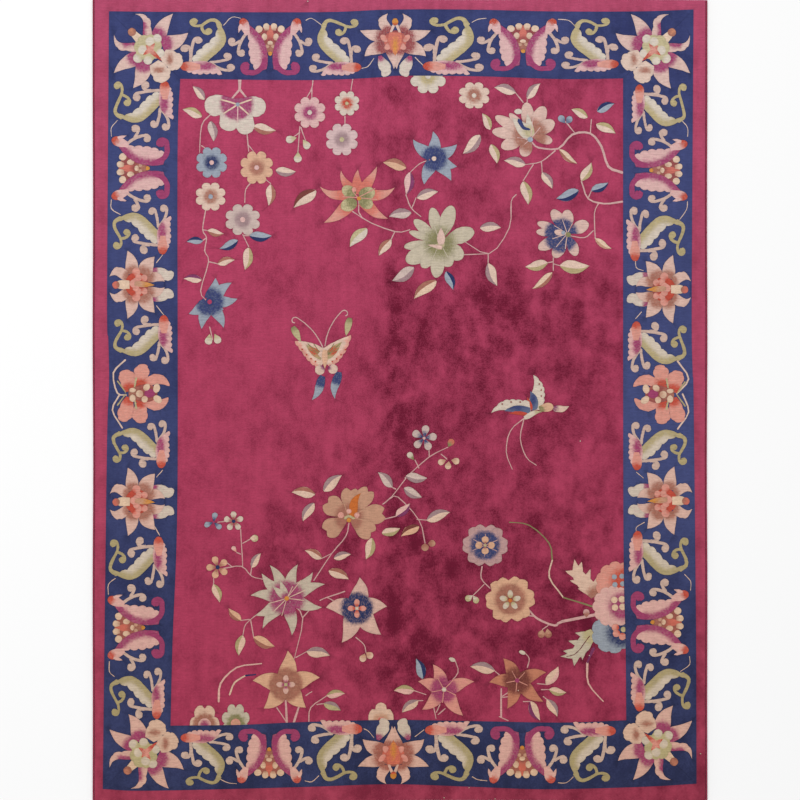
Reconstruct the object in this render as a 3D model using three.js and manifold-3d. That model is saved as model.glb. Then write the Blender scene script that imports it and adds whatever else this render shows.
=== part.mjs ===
// A room-size hand-knotted pile rug lying flat on the floor, in millimetres, +Z up.
// +Y runs along the length (the warp), +X across the width (the weft).
// The origin is on the floor under the middle of the rug.
//
// Pieces a rug maker would name:
//   rug_pile        the knotted web, one flat slab with softly rounded pile edges
//   selvedge_left   the wool-wrapped side cord on the -X side
//   selvedge_right  the wool-wrapped side cord on the +X side

import * as THREE from "three";
import { mergeVertices } from "three/addons/utils/BufferGeometryUtils.js";
import Module from "manifold-3d";

// Driving dimensions
const RUG_WIDTH = 2690; // over both side cords
const RUG_LENGTH = 3505; // from pile end to pile end
const PILE_HEIGHT = 12; // web and pile together
const PILE_EDGE_ROUND = 4.5; // how far the clipped pile rolls over at the rim
const EDGE_ROUND_STEPS = 4;
const CORD_DIAMETER = 8; // a wrapped side cord
const CORD_SIDES = 12; // even steps, so that one flat of the cord lies on the floor
const CORD_STEPS = 56;
const SEAT_GAP = 0.3; // between a side cord and the web that it is wrapped to

// A hand-knotted rug isn't dead straight: the sides and ends draw in a little
const SIDE_DRAW_IN = 2.5; // the deepest waver of a long side
const SIDE_WAVES = 3;
const END_DRAW_IN = 2; // the deepest waver of an end
const END_WAVES = 2;
const CORNER_DROP = 3; // how far the corner at +X +Y falls short of square
const SIDE_POINTS = 42; // outline points along a long side
const END_POINTS = 30; // outline points along an end

// Worked-out sizes
const PILE_HALF_WIDTH = RUG_WIDTH / 2 - CORD_DIAMETER - SEAT_GAP;
const HALF_LENGTH = RUG_LENGTH / 2;

// How far an edge draws in at share t of its length, from 0 at its ends to depth at most
function drawIn(t, depth, waves) {
  const envelope = Math.sin(Math.PI * t);
  return depth * envelope * (0.5 + 0.5 * Math.sin(2 * Math.PI * waves * t));
}

// Half width of the web at a given y, before the cord
function sideAt(y) {
  const t = y / RUG_LENGTH + 0.5;
  return PILE_HALF_WIDTH - drawIn(t, SIDE_DRAW_IN, SIDE_WAVES);
}

// Half length of the rug at a given x; the corner drop grows over the last quarter of the +Y end
function endAt(x, isFarEnd) {
  const t = x / (2 * PILE_HALF_WIDTH) + 0.5;
  const cornerShare = isFarEnd ? Math.max(0, (t - 0.75) / 0.25) : 0;
  return HALF_LENGTH - drawIn(t, END_DRAW_IN, END_WAVES) - CORNER_DROP * cornerShare ** 2;
}

// The web's outline, counter-clockwise from the corner at -X -Y
function webOutline() {
  const near = [];
  const right = [];
  const far = [];
  const left = [];
  for (let i = 0; i < END_POINTS; i++) {
    const x = PILE_HALF_WIDTH * ((2 * i) / END_POINTS - 1);
    near.push(new THREE.Vector2(x, -endAt(x, false)));
    far.push(new THREE.Vector2(-x, endAt(-x, true)));
  }
  for (let i = 0; i < SIDE_POINTS; i++) {
    const share = i / SIDE_POINTS;
    const up = THREE.MathUtils.lerp(-endAt(PILE_HALF_WIDTH, false), endAt(PILE_HALF_WIDTH, true), share);
    const down = THREE.MathUtils.lerp(endAt(-PILE_HALF_WIDTH, true), -endAt(-PILE_HALF_WIDTH, false), share);
    right.push(new THREE.Vector2(sideAt(up), up));
    left.push(new THREE.Vector2(-sideAt(down), down));
  }
  return [...near, ...right, ...far, ...left];
}

const wasm = await Module();
wasm.setup();

// A closed three.js geometry as a manifold-3d solid
function toSolid(geometry) {
  const bare = geometry.clone();
  bare.deleteAttribute("normal");
  bare.deleteAttribute("uv");
  const merged = mergeVertices(bare, 1e-4);
  return new wasm.Manifold(
    new wasm.Mesh({
      numProp: 3,
      vertProperties: new Float32Array(merged.attributes.position.array),
      triVerts: new Uint32Array(merged.index.array),
    }),
  );
}

// A manifold-3d solid as a three.js geometry
function toGeometry(solid) {
  const mesh = solid.getMesh();
  const geometry = new THREE.BufferGeometry();
  geometry.setAttribute("position", new THREE.BufferAttribute(new Float32Array(mesh.vertProperties), 3));
  geometry.setIndex(new THREE.BufferAttribute(new Uint32Array(mesh.triVerts), 1));
  geometry.computeVertexNormals();
  return geometry;
}

// The knotted web: a bevelled slab of twice the height, cut off flat at the floor,
// so that only its upper rim is rounded
function makeRugPile() {
  const slab = new THREE.ExtrudeGeometry(new THREE.Shape(webOutline()), {
    depth: 2 * (PILE_HEIGHT - PILE_EDGE_ROUND),
    bevelThickness: PILE_EDGE_ROUND,
    bevelSize: PILE_EDGE_ROUND,
    bevelOffset: -PILE_EDGE_ROUND,
    bevelSegments: EDGE_ROUND_STEPS,
  });
  slab.translate(0, 0, PILE_EDGE_ROUND - PILE_HEIGHT);
  const belowFloor = new THREE.BoxGeometry(2 * RUG_WIDTH, 2 * RUG_LENGTH, 2 * PILE_HEIGHT);
  belowFloor.translate(0, 0, -PILE_HEIGHT);
  const pile = toSolid(slab).subtract(toSolid(belowFloor));
  return new THREE.Mesh(
    toGeometry(pile),
    new THREE.MeshStandardMaterial({ color: 0xa8385c, roughness: 0.95, metalness: 0 }),
  );
}

// A wrapped side cord: a tube beside the web's edge, which it follows from end to end
function makeSelvedge(side) {
  const radius = CORD_DIAMETER / 2;
  const section = new THREE.Shape(
    Array.from({ length: CORD_SIDES }, (_, i) => {
      const angle = ((i + 0.5) / CORD_SIDES) * 2 * Math.PI;
      const reach = radius / Math.cos(Math.PI / CORD_SIDES);
      return new THREE.Vector2(reach * Math.cos(angle), reach * Math.sin(angle));
    }),
  );
  const nearEnd = -endAt(side * PILE_HALF_WIDTH, false);
  const farEnd = endAt(side * PILE_HALF_WIDTH, true);
  const centreOffset = SEAT_GAP + radius;
  const stations = Array.from({ length: CORD_STEPS + 1 }, (_, i) => {
    const y = THREE.MathUtils.lerp(nearEnd, farEnd, i / CORD_STEPS);
    return new THREE.Vector3(side * (sideAt(y) + centreOffset), y, radius);
  });
  const tube = new THREE.ExtrudeGeometry(section, {
    steps: CORD_STEPS,
    extrudePath: new THREE.CatmullRomCurve3(stations),
  });
  return new THREE.Mesh(
    tube,
    new THREE.MeshStandardMaterial({ color: 0x7c1f3c, roughness: 0.9, metalness: 0 }),
  );
}

const rug = new THREE.Group();
rug.name = "rug";

const pile = makeRugPile();
pile.name = "rug_pile";
rug.add(pile);

for (const [name, side] of [["selvedge_left", -1], ["selvedge_right", 1]]) {
  const cord = makeSelvedge(side);
  cord.name = name;
  rug.add(cord);
}

export default rug;
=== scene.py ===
"""Dresses a hand-knotted Chinese Art Deco rug: a clipped wool pile with its flowers, the knotted web
under it, and a wool-wrapped cord along each long side.

The flowers are drawn as a weaver does, on a chart: 800 rows of knots from the far end to the near one,
with the rug's middle at column 400, row 400. One knot is 4.38 mm, about 70 knots to the foot."""

import math

import bpy
import numpy as np
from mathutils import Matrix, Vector
from mathutils.geometry import delaunay_2d_cdt


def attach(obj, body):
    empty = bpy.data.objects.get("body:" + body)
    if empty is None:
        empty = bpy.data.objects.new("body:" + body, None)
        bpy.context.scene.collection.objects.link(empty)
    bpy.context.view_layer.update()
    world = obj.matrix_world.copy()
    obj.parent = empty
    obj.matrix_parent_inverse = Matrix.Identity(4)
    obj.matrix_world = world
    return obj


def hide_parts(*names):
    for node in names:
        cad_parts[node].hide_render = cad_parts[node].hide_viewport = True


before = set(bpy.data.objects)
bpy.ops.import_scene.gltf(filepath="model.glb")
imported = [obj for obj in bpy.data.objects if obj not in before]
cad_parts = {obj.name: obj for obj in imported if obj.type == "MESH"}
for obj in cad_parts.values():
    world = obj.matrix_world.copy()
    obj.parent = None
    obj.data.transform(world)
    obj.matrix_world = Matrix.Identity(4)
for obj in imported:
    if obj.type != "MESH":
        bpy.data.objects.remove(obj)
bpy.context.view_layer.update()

# Sizes, in metres
RUG_WIDTH = 2.690
RUG_LENGTH = 3.505
PILE_HEIGHT = 0.012
WEB_THICKNESS = 0.0024
EDGE_ROUND = 0.0045
CORD_DIAMETER = 0.008
SEAT_GAP = 0.0003
SIDE_DRAW_IN = 0.0025
SIDE_WAVES = 3
END_DRAW_IN = 0.002
END_WAVES = 2
CORNER_DROP = 0.003
NAP = 0.0002  # fuzz by which the pile's top, the web's foot and its edge are drawn back
CARVE_DEPTH = 0.0008
TUFT_SPREAD = 0.00035  # how far a tuft of the rim may stand in or out
FILL_NET = 0.08  # step of the coarse net of a hidden face
FILL_MARGIN = 0.004  # how far that net keeps off the face's own edge
WAVE_HEIGHT = 0.00018
FOLD_DEPTH = 0.0005
PILE_HALF_WIDTH = RUG_WIDTH / 2 - CORD_DIAMETER - SEAT_GAP
HALF_LENGTH = RUG_LENGTH / 2

# The chart
ROWS = 800
KNOT = RUG_LENGTH / ROWS
MIDDLE = 400.0
FILL_STEP = 3.2  # knots between points where the yarns are shaded into each other
FILL_BOX = (95, 0), (705, 800)
GROUND_STEP = 9.0  # knots between points on the plain ground
GROUND_BOX = (90, -2), (712, 804)
SEAM_CELL = 1.15  # cells of so many knots keep one point each beside the seams of the drawing
SEAM_CLEAR, FILL_CLEAR, GROUND_CLEAR = 0.42, 0.8, 1.5  # how far new points keep off older ones
CARVE_WIDTH = 1.0  # half the width of the clipped line round a motif, in knots
WAVER = 0.16  # how far a woven outline strays from its drawn one, in knots
RIM_ZONE = 2.5  # knots from the rug's edge within which triangles are tested against it
STRIDE = 100003  # turns the column and row of a cell into one number

# Yarns, as they look at the far end and at the near end, where the rug is darker
YARNS = {
    "raspberry": ((180, 68, 102), (164, 56, 82)),
    "plum": ((106, 22, 48), (98, 18, 42)),
    "band": ((180, 76, 108), (166, 62, 84)),
    "band_dark": ((134, 46, 70), (118, 34, 54)),
    "navy": ((60, 68, 114), (56, 62, 96)),
    "indigo": ((69, 77, 126), (65, 71, 110)),
    "indigo_dark": ((48, 54, 98), (38, 42, 71)),
    "midnight": ((46, 54, 98), (42, 48, 82)),
    "cream": ((220, 196, 182), (206, 168, 142)),
    "white": ((212, 200, 188), (196, 176, 154)),
    "pink": ((218, 180, 178), (208, 160, 144)),
    "magenta": ((156, 66, 108), (146, 58, 90)),
    "coral": ((214, 154, 142), (206, 138, 120)),
    "vermilion": ((186, 76, 60), (182, 72, 56)),
    "brown": ((166, 112, 98), (150, 94, 76)),
    "dark_brown": ((122, 66, 62), (112, 58, 50)),
    "tan": ((190, 148, 128), (184, 136, 108)),
    "rust": ((146, 74, 78), (152, 88, 72)),
    "blush": ((216, 186, 176), (206, 162, 142)),
    "ivory": ((222, 196, 174), (208, 172, 140)),
    "salmon": ((204, 116, 104), (194, 98, 78)),
    "peach": ((214, 172, 146), (206, 158, 124)),
    "olive": ((182, 166, 126), (158, 140, 98)),
    "leaf": ((190, 178, 142), (172, 156, 112)),
    "sage": ((136, 132, 94), (124, 116, 76)),
    "blue": ((158, 166, 180), (144, 148, 152)),
    "slate": ((104, 112, 138), (92, 100, 122)),
    "grey": ((160, 132, 136), (146, 118, 116)),
    "lilac": ((212, 184, 184), (198, 166, 158)),
    "silver": ((202, 182, 176), (190, 164, 150)),
    "purple": ((132, 66, 106), (114, 50, 84)),
    "pewter": ((200, 188, 168), (184, 168, 146)),
    "dusk": ((196, 160, 156), (176, 136, 130)),
    "russet": ((196, 134, 106), (184, 116, 90)),
    "orange": ((196, 108, 52), (184, 98, 44)),
    "gold": ((208, 144, 72), (192, 124, 52)),
    "beige": ((200, 172, 162), (190, 160, 142)),
    "stem": ((206, 168, 166), (194, 148, 140)),
}

# ---------------------------------------------------------------- outline of the web


def draw_in(share, depth, waves):
    """How far an edge draws in: depth x sin(pi t) x (1 + sin(2 pi waves t)) / 2, for share t of its
    length."""
    return depth * np.sin(np.pi * share) * (0.5 + 0.5 * np.sin(2 * np.pi * waves * share))


def side_at(y):
    """Half width of the web at y: the full half width less the side's draw-in."""
    return PILE_HALF_WIDTH - draw_in(y / RUG_LENGTH + 0.5, SIDE_DRAW_IN, SIDE_WAVES)


def end_at(x, far):
    """Half length at x: the end's draw-in, and at the far end a drop that grows with the square of the
    last quarter."""
    share = x / (2 * PILE_HALF_WIDTH) + 0.5
    corner = np.maximum(0, (share - 0.75) / 0.25) * (1.0 if far else 0.0)
    return HALF_LENGTH - draw_in(share, END_DRAW_IN, END_WAVES) - CORNER_DROP * corner**2


def web_outline(step):
    """The web's outline in metres, counter-clockwise, with a point about every step."""
    wide = np.linspace(-1, 1, int(RUG_WIDTH / step) + 1)[:-1] * PILE_HALF_WIDTH
    along = np.linspace(0, 1, int(RUG_LENGTH / step) + 1)[:-1]
    right_near, right_far = -end_at(PILE_HALF_WIDTH, False), end_at(PILE_HALF_WIDTH, True)
    left_far, left_near = end_at(-PILE_HALF_WIDTH, True), -end_at(-PILE_HALF_WIDTH, False)
    up = right_near + (right_far - right_near) * along
    down = left_far + (left_near - left_far) * along
    return np.vstack(
        [
            np.column_stack([wide, -end_at(wide, False)]),
            np.column_stack([side_at(up), up]),
            np.column_stack([-wide, end_at(-wide, True)]),
            np.column_stack([-side_at(down), down]),
        ]
    )


def across(run):
    """Unit vectors a quarter turn counter-clockwise from each run."""
    side = np.column_stack([-run[:, 1], run[:, 0]])
    return side / np.maximum(np.linalg.norm(side, axis=1, keepdims=True), 1e-9)


def outward(loop):
    """Unit normals that point out of a closed counter-clockwise loop."""
    return -across(np.roll(loop, -1, axis=0) - np.roll(loop, 1, axis=0))


def to_chart(place):
    """Metres to columns and rows of the chart."""
    return np.column_stack([MIDDLE + place[:, 0] / KNOT, MIDDLE - place[:, 1] / KNOT])


def to_metres(chart):
    """Columns and rows of the chart to metres."""
    return np.column_stack([(chart[:, 0] - MIDDLE) * KNOT, (MIDDLE - chart[:, 1]) * KNOT])


# ---------------------------------------------------------------- drawing on the chart

MOTIFS = []  # painter's order: a later motif lies over an earlier one
ELEMENTS = [0]


def new_element():
    """A number for a piece of the drawing that has a clipped line round it, but none inside it."""
    ELEMENTS[0] += 1
    return ELEMENTS[0]


def lay(outline, outer, inner=None, shade=None, element=None, ground=0.0, carve_and_shade=1.0):
    """Adds a motif: its outline, its yarn, and the yarn that it is shaded into where shade gives 1."""
    MOTIFS.append(
        {
            "outline": np.asarray(outline, float),
            "outer": outer,
            "inner": inner or outer,
            "shade": shade,
            "element": new_element() if element is None else element,
            "ground": ground,
            "carve_and_shade": carve_and_shade,
        }
    )


class Placement:
    """Where a unit of the border lies: local (along, outward) knots to the chart."""

    def __init__(self, origin, along, out):
        self.origin = np.array(origin, float)
        self.axes = np.array([along, out], float)
        self.back = np.linalg.inv(self.axes)

    def out(self, local):
        return self.origin + np.asarray(local, float) @ self.axes

    def home(self, chart):
        return (chart - self.origin) @ self.back

    def lay(self, outline, outer, inner=None, shade=None, element=None, ground=0.0, carve_and_shade=1.0):
        """As lay, in local knots; a shade of (centre, near, far) is taken from_point."""
        shade = from_point(*shade) if isinstance(shade, tuple) else shade
        turned = None if shade is None else (lambda spot: shade(self.home(spot)))
        lay(self.out(outline), outer, inner, turned, element, ground, carve_and_shade)

    def mirrored(self):
        return Placement(self.origin, -self.axes[0], self.axes[1])


CHART = Placement((0, 0), (1, 0), (0, 1))


def ease(value):
    """3 t^2 - 2 t^3 of a value held between 0 and 1."""
    held = np.clip(value, 0, 1)
    return held * held * (3 - 2 * held)


def from_point(centre, near, far):
    """Shade 1 within near of the centre, falling to 0 at far."""
    middle = np.array(centre, float)
    return lambda spot: ease((far - np.linalg.norm(spot - middle, axis=-1)) / (far - near))


def in_oval(centre, along, out, soft=0.5):
    """Shade 1 inside an oval with these half sizes, falling to 0 over the soft share outside it."""
    middle, half = np.array(centre, float), np.array([along, out], float)
    return lambda spot: ease((1 + soft - np.linalg.norm((spot - middle) / half, axis=-1)) / (2 * soft))


def to_line(path, near, far):
    """Shade 1 within near of a path, falling to 0 at far from it."""
    line = np.asarray(path, float)

    def shade(spot):
        flat = spot.reshape(-1, 2)
        reach = np.linalg.norm(flat[:, None] - line[None], axis=-1).min(axis=1)
        return ease((far - reach) / (far - near)).reshape(spot.shape[:-1])

    return shade


def smooth(points, closed=False, steps=5):
    """A Catmull-Rom curve through the points, with this many steps between each two."""
    p = np.asarray(points, float)
    if closed:
        a, b, c, d = np.roll(p, 1, 0), p, np.roll(p, -1, 0), np.roll(p, -2, 0)
    else:
        ends = np.vstack([2 * p[0] - p[1], p, 2 * p[-1] - p[-2]])
        a, b, c, d = ends[:-3], ends[1:-2], ends[2:-1], ends[3:]
    t = (np.arange(steps) / steps)[None, :, None]
    a, b, c, d = (x[:, None, :] for x in (a, b, c, d))
    square, cube = 2 * a - 5 * b + 4 * c - d, 3 * b - 3 * c + d - a
    curve = (0.5 * (2 * b + (c - a) * t + square * t**2 + cube * t**3)).reshape(-1, 2)
    return curve if closed else np.vstack([curve, p[-1]])


def stroke(place, path, start, end, outer, inner=None, shade=None, element=None, steps=4, carve_and_shade=0.6):
    """A ribbon: each side lies half the width from a smoothed path, and the width runs evenly from start
    to end."""
    line = smooth(path, steps=steps)
    half = np.linspace(start, end, len(line))[:, None] / 2
    side = across(np.gradient(line, axis=0))
    ends = line[[1, -1]] - line[[0, -2]]
    ends = ends / np.maximum(np.linalg.norm(ends, axis=1, keepdims=True), 1e-9) * half[[0, -1]]
    outline = np.vstack([line[0] - ends[0], line + side * half, line[-1] + ends[1],
        (line - side * half)[::-1]])
    place.lay(outline, outer, inner, shade, element, 0.0, carve_and_shade)


def disc(place, centre, radius, outer, inner=None, shade=None, element=None, squash=1.0, tilt=0.0,
        count=None):
    """A round or oval spot: radius x (cos t, squash sin t), turned by tilt."""
    count = count or int(np.clip(2 * np.pi * radius / 1.9, 8, 24))
    t = np.linspace(0, 2 * np.pi, count, endpoint=False)
    flat = np.column_stack([radius * np.cos(t), radius * squash * np.sin(t)])
    turn = np.array([[math.cos(tilt), math.sin(tilt)], [-math.sin(tilt), math.cos(tilt)]])
    place.lay(np.array(centre, float) + flat @ turn, outer, inner, shade, element)


def petal(base, tip, width, hook=0.0, blunt=False, foot=0.12, bumps=(0, 0), depth=1.0):
    """A petal or leaf: its middle line bows sideways by hook x length x sin(pi s^1.6); half its width is
    sin(pi (foot + (1 - foot) s)^0.8), or, for a blunt one, ends in a half-round. Each side, the left one
    first, swells by depth x |sin(bumps pi t)|^0.6."""
    t = np.linspace(0, 1, max(9, 4 * max(bumps) + 1))
    s = np.sin(t * np.pi / 2) if blunt else t
    base, tip = np.array(base, float), np.array(tip, float)
    run = tip - base
    side = np.array([-run[1], run[0]])
    middle = base + s[:, None] * run + (hook * np.sin(np.pi * s**1.6))[:, None] * side
    if blunt:
        crown = np.sqrt(np.clip(1 - ((s - 0.6) / 0.4) ** 2, 0, 1))
        half = np.where(s < 0.6, foot + (1 - foot) * ease(s / 0.6) ** 0.8, crown)
    else:
        half = np.sin(np.pi * (foot + (1 - foot) * s) ** 0.8) ** 0.9
    swell = [depth * np.abs(np.sin(np.pi * count * t)) ** 0.6 for count in bumps]
    unit = side / np.linalg.norm(run)
    left = middle + (half * width / 2 + swell[0])[:, None] * unit
    right = middle - (half * width / 2 + swell[1])[:, None] * unit
    return np.vstack([left, right[-2::-1] if not blunt else right[::-1]]), middle


def lay_petal(place, base, tip, width, outer, inner=None, shade=None, element=None, rim=None, **form):
    """Lays one petal. A rim (side, share, near, far) shades it from that share of its left or right edge
    inwards."""
    outline, middle = petal(base, tip, width, **form)
    if rim:
        hand, share, near, far = rim
        edge = outline[: len(middle)] if hand == "left" else outline[:len(middle) - 1 : -1]
        shade = to_line(edge[: max(2, int(len(edge) * share))], near, far)
    place.lay(outline, outer, inner, shade, element)


def frilled(centre, radius, lobes, depth=0.25, squash=1.0, turn=0.0, steps=6):
    """A round outline with n lobes: its radius is R (1 - depth + depth |cos(n t / 2)|^0.55)."""
    t = 2 * np.pi * np.arange(lobes * steps) / (lobes * steps)
    reach = radius * (1 - depth + depth * np.abs(np.cos(lobes * t / 2)) ** 0.55)
    t = t + turn
    return np.array(centre, float) + np.column_stack([reach * np.cos(t), reach * squash * np.sin(t)])


# ---------------------------------------------------------------- units of the border


def curl(place, start, ball, radius, width, yarn, side=1, bow=0.0, element=None, turn=120, heart=0.8):
    """A tendril: a curve that leaves its start, meets a circle round the ball on its left (side 1) or
    right (-1), and winds inwards on it, its distance falling evenly to half while it turns by so many
    degrees. A disc of heart x radius fills the middle."""
    start, ball = np.array(start, float), np.array(ball, float)
    run = ball - start
    length = float(np.hypot(*run))
    along = run / length
    off = np.array([-along[1], along[0]]) * side
    touch = ball + off * radius
    pull = touch - along * length * 0.5 + off * bow * length
    t = np.linspace(0, 1, 6)[:, None]
    line = start * (1 - t) ** 2 + 2 * pull * t * (1 - t) + touch * t**2
    angle = math.atan2(off[1], off[0]) - side * np.radians(np.linspace(0, turn, 7))[1:]
    reach = radius * np.linspace(1, 0.5, 7)[1:]
    hook = ball + np.column_stack([np.cos(angle), np.sin(angle)]) * reach[:, None]
    element = new_element() if element is None else element
    stroke(place, np.vstack([line, hook]), width, width * 1.05, yarn, element=element, steps=2)
    if heart:
        disc(place, ball, radius * heart, yarn, element=element, count=10)


def scroll_unit(place, near_volute, far_volute):
    """The green crescent with its coral head, pink leaf and beige tendrils. The head is at the local
    origin; the crescent runs along and then outward, and its arm forks to two olive volutes."""
    tendrils = new_element()
    for start, ball, side, bow, turn in (
        ((24, 5), (39, 12), -1, -0.04, 110),
        ((26, 3), (42, 0), -1, 0.10, 150),
        ((6, 5), (13, 28), 1, -0.02, 190),
        ((6, 14), (1, 19), -1, 0.05, 190),
    ):
        curl(place, start, ball, 4, 2.9, "beige", side, bow, tendrils, turn)
    arm = new_element()
    fork = np.add(near_volute, far_volute) / 2 + (0.6, 1)
    curl(place, fork, far_volute, 3.6, 2.8, "olive", 1, 0.06, arm, 230)
    curl(place, fork, near_volute, 3.4, 2.8, "olive", -1, 0.10, arm, 230)
    stroke(place, [(33, 44), (29, 50), (23, 50), fork], 4.4, 2.8, "olive", element=arm)
    lay_petal(place, (13, 4), (30, 50), 14.6, "white", "olive", None, arm, ("right", 1, 3.4, 9.4),
        hook=-0.20, foot=0.16, bumps=(6, 0), depth=1.5)
    spray = new_element()
    lay_petal(place, (3, 1), (35, -8), 14, "pink", "magenta", in_oval((19, 1), 10, 4.2, 0.4), spray,
        hook=0.10, bumps=(0, 6), depth=1.5)
    lay_petal(place, (15, 0), (-3.6, 0.6), 10.4, "coral", "vermilion", ((-3.4, 0), 4, 10), spray,
        blunt=True, foot=0.5)


def pair_unit(place):
    """Two pink leaves back to back with magenta rims, and a cluster of cream berries between them. The
    local origin is the gold dot; each leaf is the mirror of the other along the border."""
    berries = new_element()
    lay_petal(place, (0, -1), (0, 29), 27, "rust", "brown", ((0, 6), 2, 9), berries, blunt=True, foot=0.1)
    lay_petal(place, (0, 11), (0, 29), 7.6, "salmon", "rust", ((0, 12), 1, 8), berries)
    for half in (place, place.mirrored()):
        for centre, radius, squash in (((11.4, 25), 3.7, 1.0), ((6, 17), 2.9, 1.3), ((2.8, 7.4), 1.9, 1.0)):
            disc(half, centre, radius, "ivory", "tan", ((2, 10), 2, radius + 8), squash=squash)
        lay_petal(half, (3.6, 23.6), (4.2, 31), 6.4, "ivory", "tan", ((4, 23), 1, 5), blunt=True, foot=0.6)
        tendril = new_element()
        curl(half, (25, 20), (29, 1), 4, 3.0, "beige", 1, 0.06, tendril, 150)
        curl(half, (31, 13), (39, 13), 4, 3.0, "beige", -1, -0.1, tendril, 150)
        leaf = new_element()
        lay_petal(half, (8, -17), (23, 30), 18, "pink", "magenta", None, leaf, ("left", 1, 4.4, 9),
            hook=0.06, foot=0.1, bumps=(0, 6), depth=1.5)
        curl(half, (5, -6), (24, -14), 5.6, 5.2, "magenta", -1, 0.34, leaf, 210, 0.5)
        lay_petal(half, (23, 19), (29, 36), 10, "pink", "vermilion", ((29.5, 36), 4.4, 10), leaf,
            blunt=True, foot=0.5)
        lay_petal(half, (30, 30), (32.6, 21), 3.4, "pink", element=leaf)
    disc(place, (0, 11), 2.9, "ivory", "tan", ((0, 8), 1, 3.5), squash=0.8)
    disc(place, (0, 0), 2.2, "gold")


def mirrored_buds(place):
    """The two white buds with magenta feet that stand beside a lotus, on its field side."""
    for half in (place, place.mirrored()):
        lay_petal(half, (15, -14), (9, -36), 10, "white", "magenta", ((15, -14), 4, 8), hook=-0.08,
            blunt=True, foot=0.3, bumps=(2, 2), depth=1.4)


def mirrored_petals(place, rows, outer, inner):
    """Petals on both sides of a unit's middle line: base, tip, width, bow, bumps, and how far its foot is
    shaded."""
    for half in (place, place.mirrored()):
        for base, tip, width, hook, bumps, reach in rows:
            lay_petal(half, base, tip, width, outer, inner, (base, reach * 0.5, reach), hook=hook,
                bumps=bumps, foot=0.2)


def lotus_unit(place):
    """The lotus of the short sides: blush petals, rust at the foot, and a coral heart at the local
    origin."""
    mirrored_buds(place)
    mirrored_petals(place, [
        ((6, -4), (1.4, -28), 10, -0.08, (0, 0), 13),
        ((9, -2), (30, -14.6), 15, 0.08, (0, 0), 15),
        ((8, 5), (34.6, 13), 13, -0.04, (0, 0), 15),
        ((7, 11), (7, 31), 11, -0.24, (0, 2), 9),
    ], "blush", "rust")
    disc(place, (0, 2), 11, "salmon", "rust", ((0, 10), 2, 14))
    for half in (place, place.mirrored()):
        disc(half, (11, 4.6), 4.6, "coral", "vermilion", ((6, 6), 1, 5), squash=0.62, tilt=0.9)
        disc(half, (7, -4), 4.4, "coral", "vermilion", ((4, 0), 1, 5), squash=0.7, tilt=-0.9)
        stroke(half, [(4.6, 10.6), (1.6, 18.4)], 2.0, 3.0, "blush")
    lay_petal(place, (0, 11), (0, -14), 14, "salmon", "gold", in_oval((0, -4), 2.4, 8.4, 0.9), foot=0.2)
    disc(place, (0, 22), 4.0, "gold", "vermilion", ((0, 19), 1, 4), squash=0.76, tilt=math.pi / 2)


def side_lotus_unit(place):
    """The lotus of the long sides: cream petals, brown at the foot, two curled ones outward, and a gold
    streak through the coral beads of its heart. The local origin is the heart."""
    mirrored_buds(place)
    mirrored_petals(place, [
        ((8, -9), (3, -27), 11, 0.12, (0, 0), 11),
        ((10, -5), (28, -17), 15, 0.06, (0, 0), 12),
        ((11, 5), (34, 10), 13, -0.06, (0, 0), 11),
        ((8, 9), (8, 28), 11, -0.26, (0, 2), 8),
    ], "blush", "brown")
    disc(place, (0, 1), 12.4, "vermilion", "rust", ((0, -14), 6, 14), squash=0.94)
    for half in (place, place.mirrored()):
        for spot, size in (((12.6, 1.4), 4.2), ((7, -1), 3.4), ((6.6, -6.6), 3.4), ((3.4, 1.6), 3.4)):
            disc(half, spot, size, "coral", "vermilion", ((spot[0] - 4, spot[1] + 4), 1, 6))
    disc(place, (-1, 4), 4.0, "coral")
    lay_petal(place, (-1, 3), (0.6, -17), 6, "gold", "tan", ((0, 2), 3, 14))
    lay_petal(place, (0, 8), (0, 22), 9, "ivory", blunt=True, foot=0.9)
    disc(place, (0.4, 21.6), 3.8, "salmon", "brown", ((0, 19), 2, 4))


def camellia_unit(place):
    """A coral camellia seen from the side, its two long tongues towards the field and cream beads at its
    heart."""
    for base, tip, width, hook, bumps, reach in (
        ((-2, 8), (-23, 14), 15, 0.06, (3, 3), 11),
        ((-7, -3), (-29, -6), 14, -0.04, (3, 3), 10),
        ((4, 8), (28, 16), 14, -0.04, (3, 3), 11),
        ((8, -3), (30, -4), 14, 0.06, (3, 3), 9),
        ((-6, 2), (-8, -32), 10, -0.20, (0, 2), 16),
        ((6, 2), (5, -31), 10, 0.20, (2, 0), 14),
    ):
        lay_petal(place, base, tip, width, "coral", "vermilion", (base, reach * 0.5, reach), hook=hook,
            blunt=True, foot=0.5, bumps=bumps)
    for side in (-1, 1):
        stroke(place, [(side, 12), (side * 12, 20)], 1.1, 1.6, "olive")
        stroke(place, [(side * 4, 3.4), (side * 15, 1.4)], 1.2, 2.2, "leaf")
    lay_petal(place, (0, 9), (0, -20), 18, "rust", "brown", ((0, 4), 3, 10), blunt=True, foot=0.5)
    disc(place, (0, -12), 5.4, "magenta", squash=0.8, tilt=math.pi / 2)
    for spot, size, squash, tilt in (
        ((-3, 5), 3.4, 0.7, 1.6), ((5, 5), 3.7, 0.85, 0.0), ((0.5, -2), 3.8, 0.95, 0.0),
        ((-6, -9), 3.9, 0.8, 0.8), ((-5, -19), 4.7, 0.72, 0.2), ((6, -20), 4.7, 0.72, -0.9),
        ((6, -7), 3.4, 0.95, 0.0),
    ):
        disc(place, spot, size, "ivory", "tan", ((0, -6), 1, 8), squash=squash, tilt=tilt)


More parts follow.
